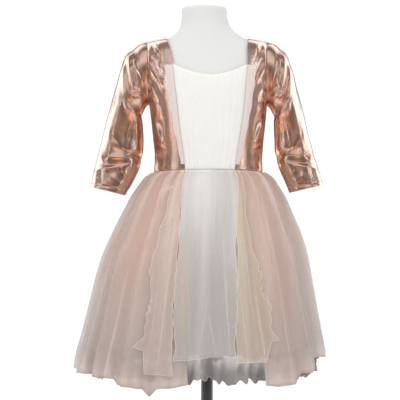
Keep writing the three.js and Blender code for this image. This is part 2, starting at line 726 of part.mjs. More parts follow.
for (const [name, edges] of [
  ["front", EDGES_FRONT_HALF],
  ["back", EDGES_BACK_HALF],
]) {
  add("skirt_lining_" + name, lining(edges), SATIN);
  add("petticoat_" + name, petticoat(edges), WHITE_NET);
}
add("net_pink_right", netPanel(EDGES_PINK_RIGHT, HEM_PINK_RIGHT, LAYER_PINK, 38), PINK_NET);
add("net_pink_left", netPanel(EDGES_PINK_LEFT, HEM_PINK_LEFT, LAYER_PINK, 34), PINK_NET);
add("net_top_right", netPanel(EDGES_TOP_RIGHT, HEM_TOP_RIGHT, LAYER_TOP, 8), PINK_NET);
add("net_top_centre", netPanel(EDGES_TOP_CENTRE, HEM_TOP_CENTRE, LAYER_TOP, 14), WHITE_NET);
add("net_top_left", netPanel(EDGES_TOP_LEFT, HEM_TOP_LEFT, LAYER_TOP, 9), CREAM_NET);

export default part;
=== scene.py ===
# %% [markdown]
# # A foil and net costume dress on a dress form
# This notebook dresses the imported model of a girl's costume dress. The model gives the true sizes and
# the collision, and this script gives what the eye sees: foil that mirrors the studio, nets that let
# light through, gathers and stitches. Each cell makes one piece or one finish.
# The imported model is loaded first.

# %% Load the frame
import json
import math
import bpy
import numpy as np
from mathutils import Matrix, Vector, noise

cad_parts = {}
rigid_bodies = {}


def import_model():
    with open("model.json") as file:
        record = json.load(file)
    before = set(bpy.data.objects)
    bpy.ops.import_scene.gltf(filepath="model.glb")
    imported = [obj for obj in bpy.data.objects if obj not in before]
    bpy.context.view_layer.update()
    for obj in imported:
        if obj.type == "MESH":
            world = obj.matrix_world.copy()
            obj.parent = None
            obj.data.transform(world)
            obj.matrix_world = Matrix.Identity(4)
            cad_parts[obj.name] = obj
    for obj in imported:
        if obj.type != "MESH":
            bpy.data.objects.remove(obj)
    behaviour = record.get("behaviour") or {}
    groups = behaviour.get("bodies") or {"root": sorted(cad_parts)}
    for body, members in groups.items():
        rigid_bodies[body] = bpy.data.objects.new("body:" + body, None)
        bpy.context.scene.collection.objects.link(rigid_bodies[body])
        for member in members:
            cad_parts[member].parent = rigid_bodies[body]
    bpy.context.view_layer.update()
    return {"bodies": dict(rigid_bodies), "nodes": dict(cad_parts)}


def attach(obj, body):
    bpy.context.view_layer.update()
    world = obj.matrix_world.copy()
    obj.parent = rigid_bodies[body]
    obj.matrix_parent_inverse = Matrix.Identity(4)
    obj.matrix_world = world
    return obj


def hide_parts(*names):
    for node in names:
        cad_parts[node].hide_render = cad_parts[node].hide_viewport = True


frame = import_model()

BODY = list(frame["bodies"])[0]
print("body:", BODY, "nodes:", len(frame["nodes"]))

# %% [markdown]
# ## Tools for smooth tables
# A pattern cutter works from a few sizes at a few heights. The same is done here: a short table holds the
# sizes in millimetres, and a smooth curve runs through each column. The curve is a cubic whose slopes are
# harmonic means, because that kind never swings past the numbers it was given, as a plain spline would.

# %% Tables and curves
MM = 0.001


def table(names, *rows):
    return [dict(zip(names.split(), row)) for row in rows]


def curve(rows, along, name):
    """A smooth function through one column of a table."""
    rows = sorted(rows, key=lambda row: row[along])
    t = np.array([row[along] for row in rows], float)
    v = np.array([row[name] for row in rows], float)
    rise = np.diff(v) / np.diff(t)
    before, after = np.r_[rise[0], rise], np.r_[rise, rise[-1]]
    total = np.where(before + after == 0, 1, before + after)
    slope = np.where(before * after > 0, 2 * before * after / total, 0)

    def at(x):
        x = np.clip(np.asarray(x, float), t[0], t[-1])
        k = np.clip(np.searchsorted(t, x, side="right") - 1, 0, len(t) - 2)
        span = t[k + 1] - t[k]
        u = (x - t[k]) / span
        ease = u * u * (3 - 2 * u)
        bend = span * u * (1 - u) * (slope[k] * (1 - u) - slope[k + 1] * u)
        return v[k] * (1 - ease) + v[k + 1] * ease + bend

    return at


def steps(rows, along, name):
    """Straight lines through one column, for the steps of a hem."""
    t = [row[along] for row in rows]
    v = [row[name] for row in rows]
    return lambda x: np.interp(x, t, v)


def smooth(x, low, high):
    u = np.clip((np.asarray(x, float) - low) / (high - low), 0, 1)
    return u * u * (3 - 2 * u)


def lerp(a, b, u):
    return a + (b - a) * u


def grid(rows, columns, closed=False):
    """Shares from 0 to 1 down the rows and along the columns of a piece of cloth."""
    along = np.linspace(0, 1, columns, endpoint=not closed)
    return np.meshgrid(np.linspace(0, 1, rows), along, indexing="ij")


def signed_power(value, power):
    return np.sign(value) * np.abs(value) ** power


print("tables are in millimetres, meshes in metres")

# %% [markdown]
# ## Camera
# The dress is seen straight from the front, from about the height of its waist, with a long lens: the
# hem bows down a little in the middle, which gives the distance away. The frame is as wide as 748 mm at
# the dress. The pole stands a little to the right of the middle of the frame.

# %% Camera
CAMERA_AWAY = 2.6
CAMERA_HEIGHT = 0.657
CAMERA_SIDE = -0.013
FRAME_WIDTH = 0.748
SENSOR = 36.0

camera_data = bpy.data.cameras.new("camera")
camera_data.sensor_width = SENSOR
camera_data.lens = SENSOR * CAMERA_AWAY / FRAME_WIDTH
camera = bpy.data.objects.new("camera", camera_data)
camera.location = (CAMERA_SIDE, -CAMERA_AWAY, CAMERA_HEIGHT)
camera.rotation_euler = (math.radians(90), 0, 0)
bpy.context.collection.objects.link(camera)
bpy.context.scene.camera = camera
print("lens in mm:", round(camera_data.lens, 1))

# %% [markdown]
# ## Floor, walls of light and the sky
# A white studio has no corner. A pale disc is the floor, which fades out at its rim into a world that is
# white for the camera. Foil is a mirror, though, and a mirror in a white room is flat white. So the world
# shows the foil something else: a dim, warm room in front, and tall bright panels beside and behind the
# dress. Cloth gets an even light that is strongest from the front and above. Light path nodes choose
# between the three. They live in the world, not in a material.

# %% Floor
FLOOR_RADIUS, FADE_FROM, FLOOR_SIDES = 1.9, 0.7, 96


def new_material(name):
    material = bpy.data.materials.new(name)
    material.use_nodes = True
    return material, material.node_tree, material.node_tree.nodes["Principled BSDF"]


def mesh_object(name, vertices, faces, material=None, shade_smooth=True):
    mesh = bpy.data.meshes.new(name)
    mesh.from_pydata(vertices, [], faces)
    mesh.update()
    if shade_smooth:
        mesh.polygons.foreach_set("use_smooth", [True] * len(mesh.polygons))
    made = bpy.data.objects.new(name, mesh)
    bpy.context.collection.objects.link(made)
    if material:
        mesh.materials.append(material)
    return made


def put(tree, kind, values=None, **settings):
    """A node with its settings, and the values or links of its inputs by place or name."""
    made = tree.nodes.new(kind)
    for key, value in settings.items():
        setattr(made, key, value)
    for key, value in (values or {}).items():
        if isinstance(value, bpy.types.NodeSocket):
            tree.links.new(value, made.inputs[key])
        else:
            made.inputs[key].default_value = value
    return made


def ranged(tree, value, low, high, bottom, top, ease="LINEAR"):
    """A value brought from one range into another."""
    return put(tree, "ShaderNodeMapRange", {"Value": value, "From Min": low, "From Max": high,
                                            "To Min": bottom, "To Max": top},
               interpolation_type=ease).outputs[0]


floor_material, tree, shader = new_material("floor_pale")
shader.inputs["Base Color"].default_value = (0.8, 0.8, 0.8, 1)
shader.inputs["Roughness"].default_value = 0.9
shader.inputs["Specular IOR Level"].default_value = 0.1
where = put(tree, "ShaderNodeTexCoord")
away = put(tree, "ShaderNodeVectorMath", {0: where.outputs["Object"]}, operation="LENGTH")
fade = ranged(tree, away.outputs["Value"], FADE_FROM, FLOOR_RADIUS * 0.98, 1.0, 0.0, "SMOOTHSTEP")
tree.links.new(fade, shader.inputs["Alpha"])
rim = [(FLOOR_RADIUS * math.cos(a), FLOOR_RADIUS * math.sin(a), -0.0005)
       for a in np.linspace(0, 2 * math.pi, FLOOR_SIDES, endpoint=False)]
floor = mesh_object("floor", rim, [list(range(FLOOR_SIDES))], floor_material, shade_smooth=False)
print("floor radius:", FLOOR_RADIUS)

# %% World
world = bpy.data.worlds.new("studio")
bpy.context.scene.world = world
world.use_nodes = True
sky = world.node_tree
sky.nodes.clear()


def ramp(tree, factor, stops, kind="LINEAR"):
    """A colour ramp with its stops given as place and colour."""
    made = put(tree, "ShaderNodeValToRGB", {0: factor})
    made.color_ramp.interpolation = kind
    elements = made.color_ramp.elements
    while len(elements) < len(stops):
        elements.new(0.5)
    for element, (place, colour) in zip(elements, sorted(stops)):
        element.position = place
        element.color = (*colour, 1) if hasattr(colour, "__len__") else (colour, colour, colour, 1)
    return made


# What the foil sees, from the camera's side (0) round to the back (180 degrees), and its brightness.
STUDIO_BANDS = [(0, (0.52, 0.36, 0.27)), (6, (0.44, 0.31, 0.24)), (12, (0.19, 0.15, 0.13)),
                (30, (0.18, 0.14, 0.12)), (37, 0.24), (41, 0.32), (45, 0.32), (50, 0.24),
                (66, (0.26, 0.20, 0.17)), (84, (0.36, 0.27, 0.23)), (93, 1.0), (102, 2.1), (138, 2.1),
                (150, 0.5), (159, (0.12, 0.09, 0.08)), (180, (0.18, 0.13, 0.11))]
# The same from straight below (0) to straight above (1): warm and bright low down, and neutral above.
STUDIO_HEIGHTS = [(0, (3.4, 2.5, 1.9)), (0.3, (3.4, 2.45, 1.8)), (0.36, (3.2, 2.25, 1.6)),
                  (0.41, (0.9, 0.70, 0.56)), (0.47, (0.60, 0.52, 0.46)), (0.54, (0.85, 0.83, 0.82)),
                  (0.66, (1.0, 0.98, 0.97)), (0.8, 1.0), (0.9, 0.85), (1, 0.85)]
# What the cloth sees is dimmest behind and below, and brightest in front and above.
BRIGHT_SIDE = (-0.15, -0.6, 0.78)
SKY_FOR_CLOTH = (0.40, 1.20)
SKY_FOR_CAMERA = 1.05
CLOTH_FACES_SEEN_THROUGH = 64

direction = put(sky, "ShaderNodeTexCoord")
parts = put(sky, "ShaderNodeSeparateXYZ", {0: direction.outputs["Generated"]})
sideways = put(sky, "ShaderNodeMath", {0: parts.outputs["X"]}, operation="ABSOLUTE")
forwards = put(sky, "ShaderNodeMath", {0: parts.outputs["Y"], 1: -1.0}, operation="MULTIPLY")
angle = put(sky, "ShaderNodeMath", {0: sideways.outputs[0], 1: forwards.outputs[0]}, operation="ARCTAN2")
share = put(sky, "ShaderNodeMath", {0: angle.outputs[0], 1: math.pi}, operation="DIVIDE")
bands = ramp(sky, share.outputs[0], [(a / 180, v) for a, v in STUDIO_BANDS], "EASE")
height = put(sky, "ShaderNodeMath", {0: parts.outputs["Z"], 1: 0.5, 2: 0.5}, operation="MULTIPLY_ADD")
heights = ramp(sky, height.outputs[0], STUDIO_HEIGHTS, "EASE")
tinged = put(sky, "ShaderNodeVectorMath", {0: bands.outputs[0], 1: heights.outputs[0]},
             operation="MULTIPLY")
seen_by_foil = put(sky, "ShaderNodeBackground", {0: tinged.outputs[0], 1: 1.0})
toward_light = put(sky, "ShaderNodeVectorMath", {0: direction.outputs["Generated"], 1: BRIGHT_SIDE},
                   operation="DOT_PRODUCT")
soft_light = ranged(sky, toward_light.outputs["Value"], -1.0, 1.0, *SKY_FOR_CLOTH)
seen_by_cloth = put(sky, "ShaderNodeBackground", {0: (1, 1, 1, 1), 1: soft_light})
seen_by_camera = put(sky, "ShaderNodeBackground", {0: (1, 1, 1, 1), 1: SKY_FOR_CAMERA})
path = put(sky, "ShaderNodeLightPath")
mirror_or_cloth = put(sky, "ShaderNodeMixShader", {0: path.outputs["Is Glossy Ray"],
                                                   1: seen_by_cloth.outputs[0], 2: seen_by_foil.outputs[0]})
everything = put(sky, "ShaderNodeMixShader", {0: path.outputs["Is Camera Ray"],
                                              1: mirror_or_cloth.outputs[0], 2: seen_by_camera.outputs[0]})
put(sky, "ShaderNodeOutputWorld", {0: everything.outputs[0]})
bpy.context.scene.view_settings.view_transform = "Standard"
bpy.context.scene.cycles.transparent_max_bounces = CLOTH_FACES_SEEN_THROUGH
print("bands of light:", len(STUDIO_BANDS))

# %% Lamps
LAMPS = table(
    "name x y z wide tall watts",
    ("strip_right_side", -2.2, -1.45, 1.2, 0.2, 2.2, 5),
    ("strip_left_side", 2.2, -1.45, 1.2, 0.2, 2.2, 6), ("over_camera", -0.3, -2.6, 2.6, 3.6, 1.8, 12),
    ("behind", 0.0, 2.4, 2.4, 2.0, 0.8, 10))
AIM = Vector((0, 0, 0.62))
for lamp in LAMPS:
    data = bpy.data.lights.new(lamp["name"], "AREA")
    data.shape = "RECTANGLE"
    data.size, data.size_y = lamp["wide"], lamp["tall"]
    data.energy = lamp["watts"]
    made = bpy.data.objects.new(lamp["name"], data)
    made.location = (lamp["x"], lamp["y"], lamp["z"])
    made.rotation_euler = (AIM - made.location).to_track_quat("-Z", "Y").to_euler()
    bpy.context.collection.objects.link(made)
print("lamps:", len(LAMPS))

# %% [markdown]
# ## Foil
# Foil cloth is a jersey with a thin rose-gold film pressed on. It mirrors the studio, but each stitch of
# the jersey dents the film, so the mirror is a little blurred, and the film wrinkles finely where the cloth
# was stretched. Roughness gives the blur, a fine wave along the cloth gives the knit, and two noises give
# the wrinkles. The pattern runs on the cloth's own UV map, which is in metres.

# %% Foil material
def texture_uv(tree, stretch=(1, 1, 1)):
    """The cloth's own map, in metres, stretched for the pattern."""
    uv = put(tree, "ShaderNodeUVMap", uv_map="cloth")
    return put(tree, "ShaderNodeMapping", {"Vector": uv.outputs[0], "Scale": stretch}).outputs[0]


def bump(tree, height, strength, distance, normal=None):
    values = {"Height": height, "Strength": strength, "Distance": distance}
    if normal:
        values["Normal"] = normal
    return put(tree, "ShaderNodeBump", values).outputs[0]


def coloured(tree, shader, factor, stops):
    """The material's own colour, from a ramp."""
    tree.links.new(ramp(tree, factor, stops).outputs[0], shader.inputs["Base Color"])


FOIL_LIGHT = (0.86, 0.655, 0.58)
FOIL_DEEP = (0.68, 0.48, 0.40)
FOIL_BLUR = (0.19, 0.29)

foil, tree, shader = new_material("foil")
wrinkles = put(tree, "ShaderNodeTexNoise", {"Vector": texture_uv(tree, (1, 0.45, 1)), "Scale": 55.0,
                                            "Detail": 3.0, "Roughness": 0.5, "Distortion": 0.6})
crumple = put(tree, "ShaderNodeTexNoise", {"Vector": texture_uv(tree), "Scale": 190.0, "Detail": 2.0})
knit = put(tree, "ShaderNodeTexWave", {"Vector": texture_uv(tree), "Scale": 420.0, "Distortion": 0.4},
           wave_type="BANDS", bands_direction="X")
tone = put(tree, "ShaderNodeTexNoise", {"Vector": texture_uv(tree, (1, 0.6, 1)), "Scale": 14.0,
                                        "Detail": 2.0})
coloured(tree, shader, tone.outputs["Fac"], [(0.35, FOIL_DEEP), (0.65, FOIL_LIGHT)])
tree.links.new(ranged(tree, crumple.outputs["Fac"], 0.0, 1.0, *FOIL_BLUR), shader.inputs["Roughness"])
shader.inputs["Metallic"].default_value = 1.0
first = bump(tree, wrinkles.outputs["Fac"], 0.25, 0.0012)
second = bump(tree, crumple.outputs["Fac"], 0.04, 0.0004, first)
tree.links.new(bump(tree, knit.outputs["Fac"], 0.08, 0.0002, second), shader.inputs["Normal"])
print("foil layers of relief: 3")

# %% [markdown]
# ## Nets
# Net is mostly holes, so it is made as a see-through cloth: the shader's alpha says how much of each
# square millimetre is thread. One net hardly shows, and four over each other are almost solid, which is
# how such skirts get their depth. Each net is a closed shell with two faces, so a face's alpha of a third
# is a net that hides about half of what is behind it. The colours also follow painted values: painted shade
# deep in each fold and further down the net, and marks of colour, the nets' own and painted light and
# shade.
# The cells are drawn by a Voronoi pattern in the relief, at their real size of just over a millimetre.

# %% Net materials
NET_CELL = 1.3 * MM


def mixed(tree, share, first, second):
    return put(tree, "ShaderNodeMix", {0: share, 6: first, 7: second}, data_type="RGBA").outputs[2]


def net_material(name, pale, deep, low, alpha, flat=False, at_hem=None):
    """Painted light and shade: paler on the fold ridges, deeper in the folds, darker and greyer lower down.
    A crushed hem is denser.
    """
    material, tree, shader = new_material(name)
    drift = put(tree, "ShaderNodeTexNoise", {"Vector": texture_uv(tree, (1, 0.2, 1)), "Scale": 26.0,
                                             "Detail": 3.0, "Roughness": 0.6})
    factor = drift.outputs["Fac"]
    if not flat:
        # Painted shade: the colour is darker where a point lies deep in its fold, and paler on the ridges.
        fold_shade = put(tree, "ShaderNodeAttribute", attribute_name="fold_shade")
        part = put(tree, "ShaderNodeMath", {0: fold_shade.outputs["Fac"], 1: -0.55}, operation="MULTIPLY")
        factor = put(tree, "ShaderNodeMath", {0: factor, 1: 0.75, 2: part.outputs[0]},
                     operation="MULTIPLY_ADD").outputs[0]
    colour = ramp(tree, factor, [(0.02, deep), (0.42, pale)]).outputs[0]
    if not flat:
        # Painted shade: the net is painted towards its third colour further down, where less light reaches.
        down = put(tree, "ShaderNodeAttribute", attribute_name="down")
        lower = ranged(tree, down.outputs["Fac"], 0.08, 0.9, 0.0, 0.9)
        colour = mixed(tree, lower, colour, (*low, 1))
        # Marks of colour: the nets' own tints, and painted shade and highlights.
        tint = put(tree, "ShaderNodeAttribute", attribute_name="tint")
        colour = mixed(tree, tint.outputs["Alpha"], colour, tint.outputs["Color"])
        cells = put(tree, "ShaderNodeTexVoronoi", {"Vector": texture_uv(tree), "Scale": 1 / NET_CELL},
                    feature="DISTANCE_TO_EDGE")
        tree.links.new(bump(tree, cells.outputs["Distance"], 0.3, 0.0003), shader.inputs["Normal"])
    if at_hem:
        # A crushed hem is also painted darker where it turns in, as shade inside the crush.
        dark = ranged(tree, fold_shade.outputs["Fac"], 0.3, 1.8, 1.0, 0.5)
        at_edge = ranged(tree, down.outputs["Fac"], 0.86, 0.93, 0.0, 1.0)
        shaded = put(tree, "ShaderNodeVectorMath", {0: colour, "Scale": dark}, operation="SCALE")
        colour = mixed(tree, at_edge, colour, shaded.outputs[0])
        denser = ranged(tree, down.outputs["Fac"], 0.86, 0.97, alpha, at_hem)
    tree.links.new(colour, shader.inputs["Base Color"])
    shader.inputs["Roughness"].default_value = 0.8
    shader.inputs["Specular IOR Level"].default_value = 0.25
    shader.inputs["Sheen Weight"].default_value = 0.2
    shader.inputs["Sheen Roughness"].default_value = 0.45
    shader.inputs["Alpha"].default_value = alpha
    if at_hem:
        tree.links.new(denser, shader.inputs["Alpha"])
    return material


# For each folded net, the first colour is for the ridges and the second for deep in the folds: painted
# light and shade, mixed with a random tone. The third colour is painted shade further down.
NET_SHADED_LOW = (0.56, 0.47, 0.43)
net_pink = net_material(
    "net_pink", (0.91, 0.72, 0.64), (0.70, 0.47, 0.38), NET_SHADED_LOW, alpha=0.36, at_hem=0.78)
net_blush = net_material(
    "net_blush", (0.90, 0.78, 0.70), (0.74, 0.57, 0.48), (0.60, 0.50, 0.46), alpha=0.32)
net_white = net_material(
    "net_white", (0.93, 0.91, 0.88), (0.74, 0.72, 0.70), (0.56, 0.51, 0.49), alpha=0.34)
net_petticoat = net_material(
    "net_petticoat", (0.93, 0.90, 0.87), (0.66, 0.62, 0.60), (0.50, 0.455, 0.43), alpha=0.42, at_hem=0.8)
net_cream = net_material(
    "net_cream", (0.90, 0.79, 0.65), (0.78, 0.61, 0.43), (0.60, 0.49, 0.41), alpha=0.32)
net_front = net_material(
    "net_front", (0.96, 0.95, 0.93), (0.91, 0.89, 0.86), NET_SHADED_LOW, alpha=0.42, flat=True)
net_edge = net_material(
    "net_edge", (0.92, 0.87, 0.81), (0.86, 0.79, 0.72), NET_SHADED_LOW, alpha=0.7, flat=True)
net_band = net_material(
    "net_band", (0.93, 0.84, 0.82), (0.84, 0.70, 0.66), NET_SHADED_LOW, alpha=0.5, flat=True)
print("net cell in mm:", NET_CELL / MM)

# %% [markdown]
# ## Satin, the form's cover and steel
# Satin has long floating threads, so it shines more one way than the other: a fine wave bends its light.
# The form is a shell in a tight white jersey cover, and the stand is dark satin steel, brushed round.

# %% Satin, cover and steel materials
satin, tree, shader = new_material("satin")
threads = put(tree, "ShaderNodeTexWave", {"Vector": texture_uv(tree), "Scale": 700.0, "Distortion": 1.0},
              wave_type="BANDS", bands_direction="Y")
soft = put(tree, "ShaderNodeTexNoise", {"Vector": texture_uv(tree), "Scale": 12.0, "Detail": 2.0})
coloured(tree, shader, soft.outputs["Fac"], [(0.3, (0.90, 0.88, 0.84)), (0.7, (0.94, 0.93, 0.90))])
tree.links.new(bump(tree, threads.outputs["Fac"], 0.1, 0.0002), shader.inputs["Normal"])
shader.inputs["Roughness"].default_value = 0.42
shader.inputs["Sheen Weight"].default_value = 0.2

cover, tree, shader = new_material("form_cover")
where = put(tree, "ShaderNodeTexCoord")
grain = put(tree, "ShaderNodeTexNoise", {"Vector": where.outputs["Object"], "Scale": 900.0, "Detail": 2.0})
cloud = put(tree, "ShaderNodeTexNoise", {"Vector": where.outputs["Object"], "Scale": 7.0, "Detail": 1.0})
coloured(tree, shader, cloud.outputs["Fac"], [(0.3, (0.68, 0.68, 0.67)), (0.7, (0.72, 0.72, 0.71))])
tree.links.new(bump(tree, grain.outputs["Fac"], 0.12, 0.0003), shader.inputs["Normal"])
shader.inputs["Roughness"].default_value = 0.55

steel, tree, shader = new_material("steel")
where = put(tree, "ShaderNodeTexCoord")
squeezed = put(tree, "ShaderNodeMapping", {"Vector": where.outputs["Object"], "Scale": (1, 1, 40)})
brushing = put(tree, "ShaderNodeTexNoise", {"Vector": squeezed.outputs[0], "Scale": 60.0, "Detail": 4.0})
tree.links.new(ranged(tree, brushing.outputs["Fac"], 0.0, 1.0, 0.26, 0.42), shader.inputs["Roughness"])
coloured(tree, shader, brushing.outputs["Fac"], [(0.3, (0.085, 0.09, 0.10)), (0.7, (0.13, 0.14, 0.155))])
shader.inputs["Metallic"].default_value = 1.0
print("materials:", len(bpy.data.materials))

# %% [markdown]
# ## The surface that the bodice is cut to
# The form is a stack of level sections. Each is a rounded rectangle, half way between an ellipse and a box,
# with its own width and its own depth to the front and the back. The bodice lies on the same surface,
# moved out by a few millimetres, so panels, bands and nets are all worked out from one function.

# %% The form's surface
FORM = table(
    "z half front back",
    (560, 82, 62, 60), (566, 92, 71, 70), (585, 99, 78, 78), (625, 104, 80, 84), (665, 102, 79, 79),
    (712, 98.4, 76, 70), (739, 98, 76.5, 69), (785, 102.4, 80, 72), (829, 107.2, 81, 77),
    (860, 113, 79, 79), (885, 120, 74, 79), (912, 126, 67, 75), (930, 124.5, 61, 69),
    (941, 119, 56, 64), (949, 109, 51, 60), (953.5, 92, 47, 57), (957.5, 76, 44, 54), (965, 63, 40, 50),
    (976, 51, 37, 46), (988, 45.5, 35, 43), (1004, 42.8, 34.5, 41.5), (1014, 42.8, 34.5, 41.5),
    (1018, 40, 32, 39))
# The form doesn't stand quite straight: how far it lies to the wearer's left, with the dress on it.
ASIDE = table("z x", (620, 0), (713, 2.8), (805, 2.8), (900, 0), (957.5, 0), (985, -3.7), (1018, -5.5))
SQUARENESS = 2.3
POWER = 2 / SQUARENESS
SHOULDER_TOP = 957.5
FORM_CLEAR = 0.9
DEGREE = math.pi / 180
form_half, form_front, form_back = (curve(FORM, "z", name) for name in ("half", "front", "back"))
aside = curve(ASIDE, "z", "x")


def form_point(turn, z, out):
    """A point of the surface. A turn is an angle from the centre front, positive to the wearer's left."""
    power = lerp(POWER, 1, smooth(z, SHOULDER_TOP, 990))
    depth = np.where(np.cos(turn) > 0, form_front(z), form_back(z)) + out
    x = aside(z) + (form_half(z) + out) * signed_power(np.sin(turn), power)
    y = -depth * signed_power(np.cos(turn), power)
    return np.stack(np.broadcast_arrays(x, y, z + out * smooth(z, 885, 945)), axis=-1)


def turn_at(x, z, out):
    """The turn at which the surface reaches x from its own middle."""
    part = np.clip(np.abs(x) / (form_half(z) + out), 0, 1)
    return np.sign(x) * np.arcsin(part ** (1 / POWER))


print("form height in mm:", FORM[-1]["z"] - FORM[0]["z"])

# %% [markdown]
# ## Making a mesh from a grid of points
# Every piece of cloth is a grid: rows down the cloth and columns along it. The grid becomes quads, gets a
# UV map in metres along its own threads, and a Solidify modifier gives it its thickness. A piece that runs
# all round has its last column joined to its first.

# %% Cloth from a grid
CLOTH_THICK = 0.5


def arc(points, axis):
    """How far each point lies along its row or column, in metres."""
    leap = np.linalg.norm(np.diff(points, axis=axis), axis=-1)
    shape = list(leap.shape)
    shape[axis] = 1
    return np.concatenate([np.zeros(shape), np.cumsum(leap, axis=axis)], axis=axis) * MM


def cloth_mesh(name, points, closed=False, flip=False):
    """A mesh with the UV map of the cloth. Points are in millimetres."""
    rows, columns = points.shape[:2]
    wide = columns + 1 if closed else columns
    full = np.concatenate([points, points[:, :1]], axis=1) if closed else points
    u, v = arc(full, 1), arc(full, 0)
    faces, corners = [], []
    for i in range(rows - 1):
        for j in range(wide - 1):
            ring = [(i, j), (i, j + 1), (i + 1, j + 1), (i + 1, j)]
            if flip:
                ring.reverse()
            faces.append([a * columns + b % columns for a, b in ring])
            corners += ring
    mesh = bpy.data.meshes.new(name)
    mesh.from_pydata((points.reshape(-1, 3) * MM).tolist(), [], faces)
    layer = mesh.uv_layers.new(name="cloth")
    at = np.array(corners)
    layer.data.foreach_set("uv", np.stack([u[at[:, 0], at[:, 1]], v[at[:, 0], at[:, 1]]], -1).ravel())
    mesh.polygons.foreach_set("use_smooth", [True] * len(mesh.polygons))
    mesh.update()
    return mesh


def linked(mesh, *materials):
    made = bpy.data.objects.new(mesh.name, mesh)
    bpy.context.collection.objects.link(made)
    for material in materials:
        mesh.materials.append(material)
    return made


def thicken(piece, thick=CLOTH_THICK):
    modifier = piece.modifiers.new("thickness", "SOLIDIFY")
    modifier.thickness = thick * MM
    modifier.offset = 0
    modifier.use_even_offset = False
    return piece


def area_of(mesh):
    return sum(face.area for face in mesh.polygons)


def settle(piece, finish, *nodes):
    """The piece rides on the only body and stands for its nodes. Its finish is not used."""
    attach(piece, BODY)
    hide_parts(*nodes)
    return piece


print("cloth thickness in mm:", CLOTH_THICK)

# %% [markdown]
# ## Creases one by one
# Foil shows its creases more than any other cloth, because each one mirrors another part of the studio.
# Cloth simulation makes too even a crumple for it, so the main creases are listed one by one, each a line
# from one point to another with a width and a height. The height falls off quickly at first and slowly
# further out, which leaves a crisp line on top, as folded film has. A fine noise adds the rest.

# %% Creases and crumple
CREASE_SHARP = 1.2


def crease_field(x, y, lines):
    """The sum of soft ridges and troughs, each along its own line."""
    total = np.zeros(np.broadcast(x, y).shape)
    for line in lines:
        dx, dy = line["x1"] - line["x0"], line["y1"] - line["y0"]
        length = math.hypot(dx, dy)
        along = ((x - line["x0"]) * dx + (y - line["y0"]) * dy) / length**2
        off = ((x - line["x0"]) * dy - (y - line["y0"]) * dx) / length
        ends = smooth(along, -0.12, 0.22) * (1 - smooth(along, 0.78, 1.12))
        total += line["high"] * ends * np.exp(-np.abs(off / line["wide"]) ** CREASE_SHARP)
    return total


def crumpled(points, size, depth, seed):
    """Noise from the place of each point, in millimetres."""
    shift = Vector((seed * 17.3, seed * 5.1, seed * 9.7))
    flat = points.reshape(-1, 3) / size
    values = [noise.noise(Vector(p) + shift) for p in flat]
    return depth * np.array(values).reshape(points.shape[:2])


print("crease sharpness:", CREASE_SHARP)

# %% [markdown]
# ## The form
# A shop's dress form is a smooth shell under a tight cover, with a flat top to the neck. Its sections
# are joined by many rings, so that the neck and shoulders stay round. The cover is seamed where the neck
# meets the chest, which shows as a fine line above the neckline.

# %% Form
NECK_SEAM, NECK_SEAM_DIP = 957.0, 9
FORM_GRID = (160, 96)


def form_piece():
    rows, columns = FORM_GRID
    i, j = grid(rows, columns, closed=True)
    z = lerp(FORM[0]["z"], FORM[-1]["z"], i)
    turn = j * 2 * math.pi
    seam_height = NECK_SEAM - NECK_SEAM_DIP * np.cos(turn)
    groove = -0.8 * np.exp(-((z - seam_height) / 1.6) ** 2) * (form_half(z) < 100)
    points = form_point(turn, z, -FORM_CLEAR + groove)
    mesh = cloth_mesh("form_body_smooth", points, closed=True)
    made = linked(mesh, cover)
    for row in (0, rows - 1):
        add_cap(mesh, row * columns, columns, up=row > 0)
    return made


def add_cap(mesh, first, columns, up):
    """A flat face over one end ring."""
    import bmesh
    bm = bmesh.new()
    bm.from_mesh(mesh)
    bm.verts.ensure_lookup_table()
    ring = [bm.verts[first + k] for k in range(columns)]
    face = bm.faces.new(ring if up else ring[::-1])
    face.smooth = False
    bm.to_mesh(mesh)
    bm.free()


form_made = settle(form_piece(), "form_cover", "form_body")
print("form faces:", len(form_made.data.polygons))

# %% [markdown]
# ## The stand
# Round parts of a stand are turned, so each is a profile of radius and height spun about the pole's axis.
# Close rings at each corner keep the edge crisp but rounded when the surface is shaded smooth.

# %% Stand
POLE_RADIUS, BASE_RADIUS, BASE_HEIGHT = 11, 150, 9
BOSS_RADIUS, BOSS_HEIGHT = 24, 34
FLANGE_RADIUS, FLANGE_HEIGHT, FORM_BOTTOM = 36, 6, 560
SEAM = 0.3
CORNER_CUT = 0.8


def spun(name, profile, sides=96):
    """A turned piece. Each corner of the profile is cut off and rounded by two points."""
    rounded = []
    for k, (r, z) in enumerate(profile):
        if k in (0, len(profile) - 1):
            rounded.append((r, z))
            continue
        for other in (profile[k - 1], profile[k + 1]):
            reach = math.dist((r, z), other)
            cut = min(CORNER_CUT, reach * 0.4) / reach
            rounded.append((lerp(r, other[0], cut), lerp(z, other[1], cut)))
    turns = np.linspace(0, 2 * math.pi, sides, endpoint=False)
    vertices = [(r * MM * math.sin(t), -r * MM * math.cos(t), z * MM)
                for r, z in rounded[1:-1] for t in turns]
    rings = len(rounded) - 2
    faces = [[low + j, low + (j + 1) % sides, low + sides + (j + 1) % sides, low + sides + j]
             for low in range(0, (rings - 1) * sides, sides) for j in range(sides)]
    faces.append(list(range(sides))[::-1])
    faces.append([(rings - 1) * sides + k for k in range(sides)])
    made = mesh_object(name, vertices, faces, steel)
    made.data.polygons[-1].use_smooth = made.data.polygons[-2].use_smooth = False
    return made


